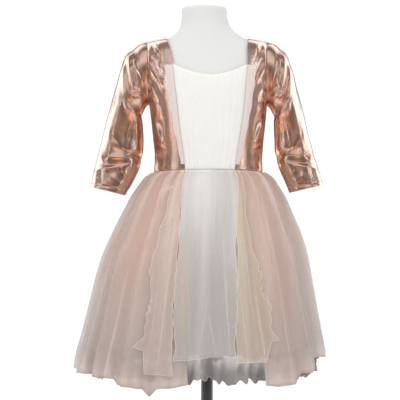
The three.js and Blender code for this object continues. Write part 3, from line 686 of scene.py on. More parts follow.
base = spun("stand_base_turned", [
    (0, 0), (BASE_RADIUS, 0), (BASE_RADIUS, BASE_HEIGHT - 3), (BASE_RADIUS - 3, BASE_HEIGHT),
    (BOSS_RADIUS + 8, BASE_HEIGHT + 2), (BOSS_RADIUS, BASE_HEIGHT + 10), (BOSS_RADIUS - 4, BOSS_HEIGHT),
    (0, BOSS_HEIGHT)])
pole_top = FORM_BOTTOM - FLANGE_HEIGHT - 2 * SEAM
pole = spun("stand_pole_turned", [
    (0, BOSS_HEIGHT + SEAM), (POLE_RADIUS, BOSS_HEIGHT + SEAM), (POLE_RADIUS, pole_top), (0, pole_top)], 48)
flange_low = FORM_BOTTOM - FLANGE_HEIGHT - SEAM
flange = spun("stand_flange_turned", [
    (0, flange_low), (FLANGE_RADIUS - 2, flange_low), (FLANGE_RADIUS, flange_low + 1.3),
    (FLANGE_RADIUS, FORM_BOTTOM - SEAM), (0, FORM_BOTTOM - SEAM)])
for piece, node in ((base, "stand_base"), (pole, "stand_pole"), (flange, "stand_flange")):
    settle(piece, "steel", node)
print("turned pieces: 3")

# %% [markdown]
# ## The bodice's seams
# Two long seams part the ivory panel from the foil. The armholes lie in upright planes, so a seam is where
# the surface meets a plane, and every panel edge is a turn that changes with height.

# %% Seam lines
CLOTH_AT = 2.1
NET_AT = 3.7
ARMHOLE_X = 110
WAIST_FRONT, WAIST_DROP = 713, 5
NECK_DIP, NECK_RISE, BACK_NECK = 885, 20, 922
FRONT_PANEL = table(
    "z half turned",
    (700, 44, 1.5), (717, 45, 2.5), (800, 56.5, 3.4), (859, 63, 4.8), (905, 67.5, 5.8), (935, 71, 3),
    (962, 77.5, 0))
panel_half, panel_turned = (curve(FRONT_PANEL, "z", name) for name in ("half", "turned"))


def waist_at(turn):
    return WAIST_FRONT - WAIST_DROP * np.sin(turn) ** 2


def panel_edge(side, z, out, beyond=0):
    return turn_at(side * (panel_half(z) + beyond) + panel_turned(z), z, out)


def foil_edge(z, out):
    """The outer edge of a foil panel: the side seam, the armhole and the shoulder seam."""
    seam = 90 * DEGREE - SEAM / 2 / (form_front(z) + out)
    return np.minimum(seam, turn_at(ARMHOLE_X - SEAM / 2, z, out))


def neckline(j):
    return NECK_DIP + NECK_RISE * np.abs(2 * j - 1) ** 1.5


TUCK_FALL = 0.035


def tucked(j, i=None, depth=0.7):
    """Cloth sinks a little towards a seam at either side, as the stitches pull it in."""
    sink = np.exp(-j / TUCK_FALL) + np.exp(-(1 - j) / TUCK_FALL)
    if i is not None:
        sink = sink + np.exp(-i / TUCK_FALL)
    return -depth * sink


print("armhole plane at", ARMHOLE_X, "mm")

# %% [markdown]
# ## Ivory front panel and its gathered net
# The middle panel is flat satin. Over it lies a net cut wider than the panel and gathered into the seams
# at the top and the waist. So its folds are strong there, and between them they wander and die out.
# A few flat creases cross it near the wearer's right, where the net was pulled sideways.

# %% Front panel
def front_panel(name, out_of, rows, columns, material):
    i, j = grid(rows, columns)
    rough = lerp(waist_at(0), neckline(j), i)
    turn = lerp(panel_edge(-1, rough, CLOTH_AT, -SEAM / 2), panel_edge(1, rough, CLOTH_AT, -SEAM / 2), j)
    z = lerp(waist_at(turn), neckline(j), i)
    points = form_point(turn, z, out_of(i, j, turn, z))
    return thicken(linked(cloth_mesh(name, points), material))


panel = front_panel("front_centre_satin", lambda i, j, turn, z: CLOTH_AT + tucked(j), 60, 60, satin)
settle(panel, "satin", "front_centre")

GATHERS = 9
NET_CREASES = table(
    "x0 y0 x1 y1 wide high",
    (-0.92, 0.46, -0.55, 0.50, 0.025, 1.6), (-0.9, 0.40, -0.6, 0.43, 0.02, 1.2),
    (-0.95, 0.30, -0.70, 0.26, 0.025, 1.2), (0.55, 0.66, 0.9, 0.58, 0.025, 1.4),
    (0.5, 0.44, 0.85, 0.38, 0.03, 1.3), (-0.5, 0.72, -0.2, 0.80, 0.03, 1.2),
    (0.1, 0.55, 0.3, 0.62, 0.03, 1.0), (-0.80, 0.98, -0.76, 0.40, 0.022, 2.0),
    (0.80, 0.98, 0.62, 0.50, 0.03, 1.4))


def gathered(i, j, turn, z):
    strength = 0.45 + 0.55 * np.abs(2 * i - 1)
    wander = 0.35 * np.sin(3.1 * i + 5 * j) + 0.12 * np.sin(11 * i + 2)
    inside = np.clip(np.sin(math.pi * j), 0, 1) ** 0.5
    size = 0.75 + 0.25 * np.sin(7 * j + 1)
    folds = (1 - np.cos(2 * math.pi * (GATHERS * j + wander * inside))) * size
    fine = 0.22 * (1 + np.sin(2 * math.pi * 31 * j + 3 * i)) * strength**2
    return NET_AT + (folds * strength + fine) * inside + crease_field(2 * j - 1, i, NET_CREASES) * inside


net = front_panel("front_centre_net_gathered", gathered, 84, 180, net_front)
settle(net, "white_net", "front_centre_net")
print("gathers over the panel:", GATHERS)

# %% [markdown]
# ## Foil front panels
# Each foil panel runs from the shoulder seam to the waist. Its creases start at the shoulder and the
# armhole, where the sleeve hangs from it, and run down to the bust. More of them start at the side, above
# the waist.
# At the waist the foil rolls out over the skirt's gathers, and at every seam it sinks.

# %% Foil front panels
FRONT_CREASES = table(
    "x0 y0 x1 y1 wide high",
    (95, 941, 72, 909, 2.2, 2.6), (89, 944, 64, 915, 2.0, 2.4), (102, 937, 84, 904, 2.2, -2.2),
    (100, 930, 78, 894, 2.4, 2.6), (108, 916, 80, 862, 3.2, 3.2), (108, 902, 72, 842, 3.4, -2.4),
    (109, 884, 92, 836, 3.2, 2.6), (109, 862, 82, 808, 3.6, 3.0), (106, 848, 97, 798, 3.2, -2.2),
    (106, 838, 86, 772, 3.4, 2.3), (98, 806, 80, 750, 3.2, 3.0), (86, 806, 80, 748, 2.8, -2.2),
    (73, 800, 86, 750, 3.2, 2.6), (66, 784, 76, 734, 3.4, 2.0), (99, 776, 93, 726, 3.2, 2.3),
    (62, 905, 72, 850, 3.2, 1.5), (60, 845, 63, 788, 3.6, -1.5), (75, 934, 79, 886, 2.4, 1.8),
    (88, 884, 70, 872, 3.0, 1.5), (104, 822, 84, 830, 2.8, 1.4), (96, 760, 74, 744, 2.8, -1.5))


FOIL_SIDE_GRID = (170, 64)


def foil_side(side, seed):
    i, j = grid(*FOIL_SIDE_GRID)
    z = lerp(WAIST_FRONT, SHOULDER_TOP, i ** 0.93)
    turn = lerp(panel_edge(side, z, CLOTH_AT, SEAM / 2), side * foil_edge(z, CLOTH_AT), j)
    z = z - (1 - i) ** 6 * (WAIST_FRONT - waist_at(turn))
    flat = form_point(turn, z, CLOTH_AT)
    across = np.abs(flat[..., 0] - aside(z))
    # The net band lies on the first stretch beside the seam, so nothing stands up under it.
    free = smooth(j, 0.26, 0.5) * (1 - smooth(j, 0.9, 1))
    creases = crease_field(across, z, FRONT_CREASES) * free
    roll = 1.4 * np.exp(-((z - waist_at(turn) - 7) / 6) ** 2) * free
    soft = (crumpled(flat, 26, 0.9, seed) + crumpled(flat, 11, 0.35, seed + 1)) * free
    points = form_point(turn, z, CLOTH_AT + creases + roll + soft + tucked(1 - j, i, depth=0.5) * free)
    mesh = cloth_mesh("front_side_" + ("left" if side > 0 else "right") + "_foil", points, flip=side < 0)
    return thicken(linked(mesh, foil))


sides = {"right": foil_side(-1, 3), "left": foil_side(1, 8)}
for name, piece in sides.items():
    settle(piece, "foil", "front_side_" + name)
print("foil creases on each front:", len(FRONT_CREASES))

# %% [markdown]
# ## Net bands
# Along each front seam a narrow doubled net lies on the foil. It is widest at the bust and narrows towards
# the waist. It bulges a little between its two rows of stitches, and its free edge waves.

# %% Bands
BAND_TOP, BAND_WAIST = 15, 7
BAND_FROM, BAND_TO = 722, 903


def band(side):
    i, j = grid(130, 14)
    z = lerp(BAND_FROM, BAND_TO, i)
    width = lerp(BAND_WAIST, BAND_TOP, smooth(z, WAIST_FRONT, 880)) + 0.7 * np.sin(z / 6.5) * j
    turn = panel_edge(side, z, CLOTH_AT, SEAM + width * j)
    out = NET_AT + 1.1 * np.sin(math.pi * j) + 0.35 * np.sin(z / 2.9 + 4 * j) * np.sin(math.pi * j)
    points = form_point(turn, z, out)
    name = "band_" + ("left" if side > 0 else "right") + "_net"
    return thicken(linked(cloth_mesh(name, points, flip=side < 0), net_band), 0.8)


bands_made = {"right": band(-1), "left": band(1)}
for name, piece in bands_made.items():
    settle(piece, "pink_net", "band_" + name)
print("band width in mm:", BAND_WAIST, "to", BAND_TOP)

# %% [markdown]
# ## Foil back
# The back is one panel. It is made as two halves, because above the low point of the neck the cloth parts
# into two straps. Each half runs from the middle, or from the neckline, to the armhole. The points down the
# middle are the same in both halves, so merging them makes one panel again.

# %% Back
BACK_CREASES = table(
    "x0 y0 x1 y1 wide high",
    (100, 935, 70, 880, 4, 1.5), (107, 900, 66, 850, 4.5, -1.4), (108, 872, 60, 830, 4.5, 1.5),
    (104, 842, 70, 790, 4.5, 1.5), (96, 800, 74, 748, 4, 1.6), (80, 790, 86, 742, 4, -1.2),
    (56, 790, 62, 735, 4.5, 1.4), (30, 770, 36, 728, 5, 1.2), (8, 780, 6, 732, 5, -1.0),
    (40, 905, 30, 850, 5, 0.9), (62, 925, 52, 888, 4, 1.0), (18, 850, 24, 800, 6, 0.8))
NECK_HALF = 77.5


def back_neck_half(z):
    """Half the width of the neck opening at a height, zero at its low point."""
    up = np.clip((z - BACK_NECK) / (SHOULDER_TOP - BACK_NECK), 0, 1)
    return NECK_HALF * up ** 0.42


def back_half(side):
    below = np.linspace(0, 1, 120) ** 0.95 * (BACK_NECK - WAIST_FRONT) + WAIST_FRONT
    above = BACK_NECK + (SHOULDER_TOP - BACK_NECK) * np.linspace(0, 1, 50)[1:] ** 2
    z, j = np.meshgrid(np.r_[below, above], np.linspace(0, 1, 62), indexing="ij")
    edge = np.minimum(90 * DEGREE - SEAM / 2 / (form_back(z) + CLOTH_AT),
                      turn_at(ARMHOLE_X - SEAM / 2, z, CLOTH_AT))
    turn = math.pi - side * lerp(turn_at(back_neck_half(z), z, CLOTH_AT), edge, j)
    z = z - np.clip((WAIST_FRONT + 30 - z) / 30, 0, 1) ** 2 * (WAIST_FRONT - waist_at(turn))
    flat = form_point(turn, z, CLOTH_AT)
    free = 1 - smooth(j, 0.93, 1)
    creases = crease_field(np.abs(flat[..., 0] - aside(z)), z, BACK_CREASES) * free
    roll = 1.3 * np.exp(-((z - waist_at(turn) - 7) / 6) ** 2) * free
    soft = (crumpled(flat, 30, 1.0, 12) + crumpled(flat, 12, 0.35, 13)) * free * smooth(j, 0, 0.05)
    points = form_point(turn, z, CLOTH_AT + creases + roll + soft + tucked(1 - j, depth=0.5))
    return cloth_mesh("back_half", points, flip=side > 0)


def joined(name, meshes, merge, *materials):
    """One object from several meshes, with points closer than merge made one."""
    import bmesh
    bm = bmesh.new()
    for mesh in meshes:
        bm.from_mesh(mesh)
        bpy.data.meshes.remove(mesh)
    bmesh.ops.remove_doubles(bm, verts=bm.verts, dist=merge * MM)
    mesh = bpy.data.meshes.new(name)
    bm.to_mesh(mesh)
    bm.free()
    return linked(mesh, *materials)


back = thicken(joined("bodice_back_foil", [back_half(-1), back_half(1)], 0.02, foil))
settle(back, "foil", "bodice_back")
print("back creases:", 2 * len(BACK_CREASES))

# %% [markdown]
# ## Foil sleeves
# A set-in sleeve starts as the armhole's own outline and turns into a level tube further down. Each
# section is an ellipse that spans the outer and the inner point seen from the front. Its creases fan
# out from the underarm, where the sleeve is folded by its own weight, and crowd again at the elbow.

# %% Sleeve sections
SLEEVE_NAMES = "out_x out_z in_x in_z half mid"
SLEEVES = {
    "right": table(
        SLEEVE_NAMES,
        (110, 951, 110, 832, 46, 0), (132.8, 941, 112, 831.5, 47, 0), (149.6, 930, 115, 827.5, 47, 0),
        (158, 911, 118, 821.5, 45, 0), (164, 891, 120, 814.5, 43, -1), (171, 866, 120.3, 804, 41, -2),
        (179, 838, 119.2, 790, 38, -3), (188, 803, 118.2, 771, 35, -5), (196, 770, 118, 751, 33, -8),
        (203, 741, 120.5, 731, 31, -12), (208.5, 719, 127, 712, 29, -17), (213, 698, 138, 690, 27, -22),
        (216.2, 681.4, 151.5, 665.5, 25, -27)),
    "left": table(
        SLEEVE_NAMES,
        (110, 951, 110, 832, 46, 0), (132.8, 941, 113, 832.5, 47, 0), (147.7, 930, 117, 829, 47, 0),
        (156, 909, 120.8, 822.5, 45, 0), (161.8, 891, 123.2, 814.5, 43, -1),
        (168, 866, 124.4, 803, 41, -2), (176, 836, 125.2, 789, 38, -3), (184, 801, 125.9, 770, 35, -5),
        (192, 768, 125.6, 752, 33, -8), (199, 743, 127.4, 735, 31, -12), (205, 721, 134, 716, 29, -17),
        (210.5, 702, 143.5, 693, 27, -22), (215, 685.1, 152.4, 670.2, 25, -27))}
SLEEVE_FOLDS = table(
    "station turn long wide high",
    (2.6, 128, 0.9, 26, 4), (4.4, 142, 0.5, 34, -6), (5.4, 120, 1.2, 22, 3), (2.8, 232, 0.9, 26, 3.5),
    (4.5, 216, 0.5, 34, -5), (8.8, 150, 0.4, 32, -4), (9.6, 118, 0.5, 24, 3), (9.2, 214, 0.4, 30, -3.5),
    (7.2, 60, 2.2, 18, 2))
# Sharper creases. Each runs from one place to another, x is a turn in tens of degrees and y a station.
SLEEVE_CREASES = table(
    "x0 y0 x1 y1 wide high",
    (13.6, 0.1, 9.7, 3.2, 0.26, 6.0), (14.0, 0.45, 10.1, 3.6, 0.34, -8.0),
    (3.2, 1.7, 9.9, 3.0, 0.24, 4.6), (3.4, 1.2, 10.8, 2.3, 0.26, -3.6),
    (3.4, 1.3, 11.6, 1.7, 0.24, 4.2), (3.6, 0.9, 12.4, 1.1, 0.26, -3.4),
    (3.6, 0.8, 13.0, 0.6, 0.26, 3.8), (3.0, 2.1, 9.4, 4.0, 0.28, -3.8), (2.6, 2.5, 9.0, 5.6, 0.3, 3.4),
    (8, 4.9, 15.5, 4.2, 0.26, -3.0), (9, 5.4, 16, 5.0, 0.26, 2.4), (2.5, 2.6, 4.0, 6.6, 0.45, 2.2),
    (6.8, 5.0, 6.2, 9.0, 0.45, 2.4), (11, 6.2, 10.2, 8.4, 0.45, -2.2), (12.5, 5.6, 13.4, 8.2, 0.4, 2.2),
    (7, 8.3, 16, 8.8, 0.18, -3.2), (6, 9.1, 15, 8.9, 0.17, 2.8), (6, 9.8, 12.5, 9.35, 0.2, -2.5),
    (3, 8.9, 7.5, 10.2, 0.22, 2.6), (2, 10.4, 9, 9.9, 0.2, 2.4), (8.5, 10.7, 12.5, 11.3, 0.26, 1.7),
    (4, 10.9, 6.5, 11.4, 0.22, -1.7), (10, 9.9, 13, 10.6, 0.24, 2.0), (5, 7.4, 9, 8.2, 0.3, -1.6),
    (3.2, 1.0, 4.4, 2.6, 0.4, 1.8), (4.6, 0.8, 6.0, 2.2, 0.3, -1.8), (19.5, 1.4, 25.5, 3.8, 0.32, 3.0),
    (22, 4.9, 30, 4.4, 0.22, -3.0), (21, 5.5, 28, 6.2, 0.28, 2.4), (24, 7.0, 26, 9.0, 0.45, 2.0),
    (20, 8.8, 29, 9.0, 0.2, -2.4), (21, 9.5, 28, 9.7, 0.22, 2.2), (30, 6.4, 31, 9.4, 0.55, 1.8))
SLEEVE_CREASE_SIZE = 0.7
LAST_STATION = 12
SLEEVE_GRID = (180, 150)


def armhole_end(end, out):
    """The height at which the surface meets the armhole's plane."""
    within = 912.0
    for _ in range(30):
        middle = (within + end) / 2
        if form_half(middle) + out > ARMHOLE_X + SEAM / 2:
            within = middle
        else:
            end = middle
    return within


def armhole_points(angle, side, out):
    bottom, top = armhole_end(775, out), armhole_end(SHOULDER_TOP, out)
    z = lerp(bottom, top, (1 + np.cos(angle)) / 2)
    x = ARMHOLE_X + SEAM / 2
    part = np.clip(x / (form_half(z) + out), 0, 1)
    depth = np.where(np.sin(angle) > 0, form_front(z), form_back(z)) + out
    y = depth * (1 - part**SQUARENESS) ** (1 / SQUARENESS)
    y = np.where(np.sin(angle) > 0, -y, y)
    return np.stack([side * x + aside(z), y, z + out * smooth(z, 885, 945)], axis=-1)


def sleeve_points(side, rows_of, station, angle, out):
    numbered = [dict(row, station=k) for k, row in enumerate(rows_of)]
    out_x, out_z, in_x, in_z, half, mid = (
        curve(numbered, "station", name)(station) for name in SLEEVE_NAMES.split())
    centre_x, centre_z = (out_x + in_x) / 2, (out_z + in_z) / 2
    reach_x, reach_z = out_x - centre_x, out_z - centre_z
    grown = 1 + out / np.hypot(reach_x, reach_z)
    free = np.stack([side * (centre_x + reach_x * grown * np.cos(angle)),
                     mid - (half + out) * np.sin(angle),
                     centre_z + reach_z * grown * np.cos(angle)], axis=-1)
    body = armhole_points(angle, side, CLOTH_AT)
    free[..., 1] = lerp(body[..., 1], free[..., 1], smooth(station, 0, 2))
    free[..., 2] = lerp(body[..., 2], free[..., 2], smooth(station, 0, 1.2))
    free[..., 0] = np.where(station == 0, body[..., 0], free[..., 0])
    return free


# %% Sleeves
def sleeve(name, side, seed):
    i, j = grid(*SLEEVE_GRID, closed=True)
    station, angle = i * LAST_STATION, j * 2 * math.pi
    turn = angle / DEGREE
    folds = sum(f["high"] * np.exp(-((station - f["station"]) / f["long"]) ** 2
                                   - ((turn - f["turn"]) / f["wide"]) ** 2) for f in SLEEVE_FOLDS)
    sharp = SLEEVE_CREASE_SIZE * crease_field(turn / 10, station, SLEEVE_CREASES)
    flat = sleeve_points(side, SLEEVES[name], station, angle, 0)
    soft = crumpled(flat, 30, 1.3, seed) + crumpled(flat, 11, 0.3, seed + 1)
    free = smooth(station, 0.15, 1.2)
    hem = -0.7 * np.exp(-((station - 11.62) / 0.05) ** 2)
    out = -0.6 + (folds + sharp + soft * (1 - 0.6 * smooth(station, 11.4, 12))) * free + hem
    out = out - 0.6 * np.exp(-station / 0.12)
    points = sleeve_points(side, SLEEVES[name], station, angle, out)
    mesh = cloth_mesh("sleeve_" + name + "_foil", points, closed=True, flip=side > 0)
    return thicken(linked(mesh, foil), 0.7)


sleeves = {"right": sleeve("right", -1, 21), "left": sleeve("left", 1, 34)}
for name, piece in sleeves.items():
    settle(piece, "foil", "sleeve_" + name)
print("sleeve creases:", len(SLEEVE_CREASES))

# %% [markdown]
# ## The skirt, as a rule
# Every layer of the skirt follows one rule: a bell whose width and depth depend on height, folded in and
# out as it goes round. The bell is made in Python. The folds are made by Geometry Nodes, because the same
# tree then folds all layers alike, and layers that fold alike never cut through each other.
# The tree reads how far round and how far down each point lies, from two attributes, and moves it inwards.

# %% The bell
SKIRT = table(
    "z right left front back",
    (714, 104.2, 105.2, 81.7, 76), (708, 107, 109, 84, 78), (700, 118, 120, 94, 88),
    (683, 131, 132, 110, 106), (661, 145, 146, 128, 126), (638, 156, 157, 143, 142),
    (593, 178.5, 176.5, 165, 166), (549, 198, 189, 180, 183), (504, 211, 197, 190, 195),
    (459, 222, 205.5, 198, 204), (414, 233, 214.5, 205, 212), (369, 244.5, 222.5, 212, 219),
    (318, 252, 228.5, 218, 225))
skirt_right, skirt_left, skirt_front, skirt_back = (
    curve(SKIRT, "z", name) for name in ("right", "left", "front", "back"))
FOLDS = 20
FOLD_AT_WAIST, FOLD_AT_HEM = 0.5, 7.0
# Lapped folds of the pink nets. Turn is where the ridge is half way down, and side is where it slopes off
# softly.
PLEATS = table(
    "turn lean side soft high top",
    (-36, -3, 1, 4.0, 3.6, 0.45), (-44, -2, -1, 3.5, 3.0, 0.2), (-52, -5, 1, 5.0, 3.4, 0.3),
    (-63, -4, -1, 4.0, 2.8, 0.15), (-74, -3, 1, 5.0, 3.0, 0.35), (-96, 3, -1, 5.0, 3.4, 0.2),
    (-121, 2, 1, 5.0, 3.0, 0.3), (-150, 0, -1, 6.0, 3.2, 0.25), (-168, 2, 1, 5.0, 3.0, 0.4),
    (36, 2, 1, 3.5, 3.0, 0.2), (43, 4, -1, 4.0, 3.4, 0.35), (52, 4, 1, 4.0, 3.0, 0.25),
    (61, 3, -1, 4.0, 2.8, 0.5), (72, 2, 1, 5.0, 3.2, 0.2), (101, -2, -1, 5.0, 3.2, 0.3),
    (128, -3, 1, 5.0, 3.0, 0.2), (157, 0, -1, 6.0, 3.2, 0.35))
# The colours of the marks: some are the nets' own, and some are painted light and shade.
COLOURS_AND_PAINTED_LIGHT = {"salmon": (0.80, 0.50, 0.40), "gold": (0.84, 0.68, 0.47), "nude": (0.84, 0.66, 0.55),
        "lilac": (0.58, 0.54, 0.57), "grey": (0.60, 0.57, 0.55), "pale": (0.78, 0.72, 0.69),
        "sand": (0.60, 0.52, 0.47), "white": (0.97, 0.95, 0.92)}
# Each mark has its middle, how far it leans on its way down the net, and its width and length. Salmon, gold
# and nude are the nets' own colours, and pale makes the far sides paler and greyer. The marks in lilac,
# grey and sand are painted shade down the middle of the centre net and at its hem. White marks
# are painted highlights along crinkled edges and frills, and painted light at the top of the centre net.
MARK_COLUMNS = "turn down lean wide long strong dye"
TINTS_AND_PAINTED_LIGHT = {
    "net_pink_right": table(
        MARK_COLUMNS,
        (-41, 0.32, -4, 8, 0.3, 0.85, "salmon"), (-56, 0.4, -6, 5, 0.4, 0.35, "salmon"),
        (-86, 0.7, 0, 16, 0.7, 0.75, "pale"), (-120, 0.5, 0, 14, 0.4, 0.5, "salmon"),
        (-47, 0.8, -5, 0.5, 0.3, 0.6, "white"), (-66, 0.7, -4, 0.5, 0.4, 0.45, "white")),
    "net_pink_left": table(
        MARK_COLUMNS,
        (38, 0.45, 5, 8, 0.35, 0.45, "salmon"), (62, 0.35, 4, 7, 0.4, 0.35, "nude"),
        (84, 0.7, 0, 18, 0.7, 0.85, "pale"), (130, 0.5, 0, 14, 0.4, 0.5, "salmon"),
        (41, 0.7, 4, 0.5, 0.35, 0.6, "white"), (55, 0.85, 3, 0.5, 0.2, 0.5, "white")),
    "net_top_right": table(
        MARK_COLUMNS,
        (-14.5, 0.55, 0, 1.4, 0.5, 0.8, "gold"), (-22, 0.6, -3, 2.5, 0.4, 0.5, "nude"),
        (-24.6, 0.7, -5, 0.35, 0.3, 0.6, "white"), (-19.5, 0.75, -4, 0.35, 0.3, 0.6, "white")),
    "net_top_centre": table(
        MARK_COLUMNS,
        (-11.4, 0.6, 2, 1.6, 0.3, 0.75, "gold"), (0, 0.5, 0, 12, 0.28, 0.5, "sand"),
        (6, 0.7, 2, 3.4, 0.35, 0.85, "lilac"), (-3, 0.95, 0, 9, 0.3, 0.5, "grey"),
        (-4, 0.1, 0, 12, 0.3, 0.9, "white"), (2.2, 0.88, 16, 0.3, 0.12, 0.8, "white"),
        (-1.5, 0.8, -14, 0.3, 0.12, 0.6, "white"), (9.6, 0.7, 3, 0.3, 0.3, 0.8, "white"),
        (-8.6, 0.75, 5, 0.3, 0.25, 0.5, "white")),
    "net_top_left": table(
        MARK_COLUMNS,
        (18.5, 0.45, 0, 1.6, 0.4, 0.8, "gold"), (21.5, 0.6, 6, 0.35, 0.35, 0.8, "white"),
        (26.5, 0.8, 6, 0.4, 0.25, 0.8, "white"), (17, 0.8, 5, 0.3, 0.25, 0.6, "white"),
        (24, 0.75, 0, 3, 0.3, 0.6, "nude"))}


def pleated(turn, down):
    """Outward ridges that are sharp on one side and soft on the other, as where a net is lapped."""
    total = np.zeros_like(turn)
    for fold in PLEATS:
        away = (turn - fold["turn"] - fold["lean"] * (down - 0.5)) * fold["side"]
        shape = np.where(away > 0, np.exp(-away / fold["soft"]), np.exp(away / 0.35))
        total += fold["high"] * shape * smooth(down, fold["top"], fold["top"] + 0.25)
    return total


def paint_tints_and_light(node, turn, down):
    """The colour and strength of each mark of colour on a net: its own tints, and painted light and shade.
    """
    paint = np.zeros(turn.shape + (4,))
    for spot in TINTS_AND_PAINTED_LIGHT.get(node, ()):
        below = down - spot["down"]
        aside_of = turn - spot["turn"] - spot["lean"] * below
        near = np.exp(-(aside_of / spot["wide"]) ** 2 - (below / spot["long"]) ** 2)
        strength = near * spot["strong"]
        paint[..., :3] = lerp(paint[..., :3], np.array(COLOURS_AND_PAINTED_LIGHT[spot["dye"]]), (strength / np.maximum(
            strength + paint[..., 3], 1e-6))[..., None])
        paint[..., 3] = np.maximum(paint[..., 3], strength)
    return paint


def bell(name, node, turn, down, hem, inset_waist, inset_hem, closed=False):
    """A layer without its folds. Turn is in degrees, and down runs from 0 at the waist to 1 at the hem."""
    radians = turn * DEGREE
    inset_hem = inset_hem - pleated(turn, down) * (node.startswith("net_pink"))
    top = waist_at(radians) - SEAM - 0.2
    z = lerp(top, hem, down)
    inset = lerp(inset_waist, inset_hem, smooth(down, 0, 0.7))
    width = np.where(np.sin(radians) > 0, skirt_left(z), skirt_right(z)) - inset
    depth = np.where(np.cos(radians) > 0, skirt_front(z), skirt_back(z)) - inset
    power = lerp(POWER, 1, smooth(down, 0, 0.3))
    points = np.stack([aside(z) + width * signed_power(np.sin(radians), power),
                       -depth * signed_power(np.cos(radians), power), z], axis=-1)
    mesh = cloth_mesh(name, points, closed=closed, flip=True)
    for key, values in (("turn", radians), ("down", down)):
        layer = mesh.attributes.new(key, "FLOAT", "POINT")
        layer.data.foreach_set("value", np.ascontiguousarray(values, dtype=np.float32).ravel())
    # The marks of colour: the nets' own tints, and painted light and shade, as a colour attribute.
    paint = mesh.attributes.new("tint", "FLOAT_COLOR", "POINT")
    paint.data.foreach_set("color", paint_tints_and_light(node, turn, down).astype(np.float32).ravel())
    return linked(mesh)


print("folds all round:", FOLDS)

# %% [markdown]
# The tree is a chain of small sums. A helper for each kind of sum lets the tree read almost like the
# formula: a cosine of the turn makes the folds, two slow sines make them uneven, and a noise that stretches
# down the cloth makes the small ones. Its last two nodes realize the result and give it its material.

# %% The tree that folds
def folding_tree():
    tree = bpy.data.node_groups.new("fold_the_layer", "GeometryNodeTree")
    face = tree.interface
    face.new_socket("Geometry", in_out="INPUT", socket_type="NodeSocketGeometry")
    for name in ("Folds", "Depth at waist", "Depth at hem", "Small folds", "Gathers", "Crumple", "Ruffle",
                 "Seed"):
        face.new_socket(name, in_out="INPUT", socket_type="NodeSocketFloat")
    face.new_socket("Material", in_out="INPUT", socket_type="NodeSocketMaterial")
    face.new_socket("Geometry", in_out="OUTPUT", socket_type="NodeSocketGeometry")
    start = tree.nodes.new("NodeGroupInput").outputs

    def sum_of(operation):
        return lambda a, b=0.0, c=0.0: put(tree, "ShaderNodeMath", {0: a, 1: b, 2: c},
                                           operation=operation).outputs[0]

    times, plus, minus, times_plus, sine, cosine = (
        sum_of(kind) for kind in ("MULTIPLY", "ADD", "SUBTRACT", "MULTIPLY_ADD", "SINE", "COSINE"))

    def named(name):
        return put(tree, "GeometryNodeInputNamedAttribute", {"Name": name}, data_type="FLOAT").outputs[0]

    def eased(value, low, high, bottom, top):
        return ranged(tree, value, low, high, bottom, top, "SMOOTHSTEP")

    turn, down = named("turn"), named("down")
    slow = times(sine(times_plus(turn, 3.0, 1.0)), 0.035)
    quick = times(sine(times_plus(turn, 7.0, 2.0)), 0.02)
    uneven = plus(turn, plus(slow, quick))
    wave = minus(1.0, cosine(times(uneven, start["Folds"])))
    size = times_plus(sine(times_plus(turn, 5.0, 0.6)), 0.25, 0.75)
    depth = eased(down, 0.0, 0.8, start["Depth at waist"], start["Depth at hem"])
    large = times(times(wave, size), depth)

    # Small folds: a noise round a circle, so that it closes, drawn out down the cloth.
    spot = put(tree, "ShaderNodeCombineXYZ", {0: times(cosine(turn), 11.0),
                                              1: times(sine(turn), 11.0),
                                              2: times(down, 1.3)})
    speck = put(tree, "ShaderNodeTexNoise", {"Vector": spot.outputs[0], "W": start["Seed"], "Scale": 1.0,
                                             "Detail": 2.0, "Roughness": 0.5}, noise_dimensions="4D")
    spread = times(minus(speck.outputs[0], 0.5), start["Small folds"])
    small = times(spread, eased(down, 0.0, 0.3, 0.2, 1.0))
    tight = put(tree, "ShaderNodeVectorMath", {0: spot.outputs[0], "Scale": 3.1}, operation="SCALE")
    pinch = put(tree, "ShaderNodeTexNoise", {"Vector": tight.outputs[0], "W": start["Seed"], "Scale": 1.0,
                                             "Detail": 1.0}, noise_dimensions="4D")
    pinched = times(minus(pinch.outputs[0], 0.4), start["Gathers"])
    gathers = times(pinched, eased(down, 0.0, 0.5, 1.0, 0.25))
    frill = sine(times_plus(uneven, 61.0, times(slow, 90.0)))
    ruffle = times(times(plus(frill, 1.0), start["Ruffle"]),
                    eased(down, 0.88, 1.0, 0.0, 1.0))
    place = put(tree, "GeometryNodeInputPosition")
    crush = put(tree, "ShaderNodeTexNoise", {"Vector": place.outputs[0], "W": start["Seed"], "Scale": 48.0,
                                             "Detail": 3.0}, noise_dimensions="4D")
    crushed = times(times(crush.outputs[0], start["Crumple"]),
                     eased(down, 0.87, 0.97, 0.0, 1.0))
    inwards = plus(plus(large, small),
                     plus(plus(ruffle, gathers), crushed))
    # How deep a point lies in its fold, and in the crush of the hem, is kept for the colour: painted shade,
    # darker deep in the folds and the crush. It also stands for the net looking denser in a fold.
    shade = plus(times(times(wave, size), 0.3),
                   times_plus(speck.outputs[0], 2.4, -0.95))
    shade = times_plus(crushed, 150.0, shade)
    kept = put(tree, "GeometryNodeStoreNamedAttribute", {"Geometry": start["Geometry"], "Name": "fold_shade",
                                                         "Value": shade}, data_type="FLOAT", domain="POINT")

    way = put(tree, "ShaderNodeCombineXYZ", {0: times(sine(turn), -1.0),
                                             1: cosine(turn)})
    offset = put(tree, "ShaderNodeVectorMath", {0: way.outputs[0], "Scale": inwards}, operation="SCALE")
    moved = put(tree, "GeometryNodeSetPosition", {"Geometry": kept.outputs[0], "Offset": offset.outputs[0]})
    real = put(tree, "GeometryNodeRealizeInstances", {0: moved.outputs[0]})
    dressed = put(tree, "GeometryNodeSetMaterial", {"Geometry": real.outputs[0],
                                                    "Material": start["Material"]})
    put(tree, "NodeGroupOutput", {0: dressed.outputs[0]})
    return tree


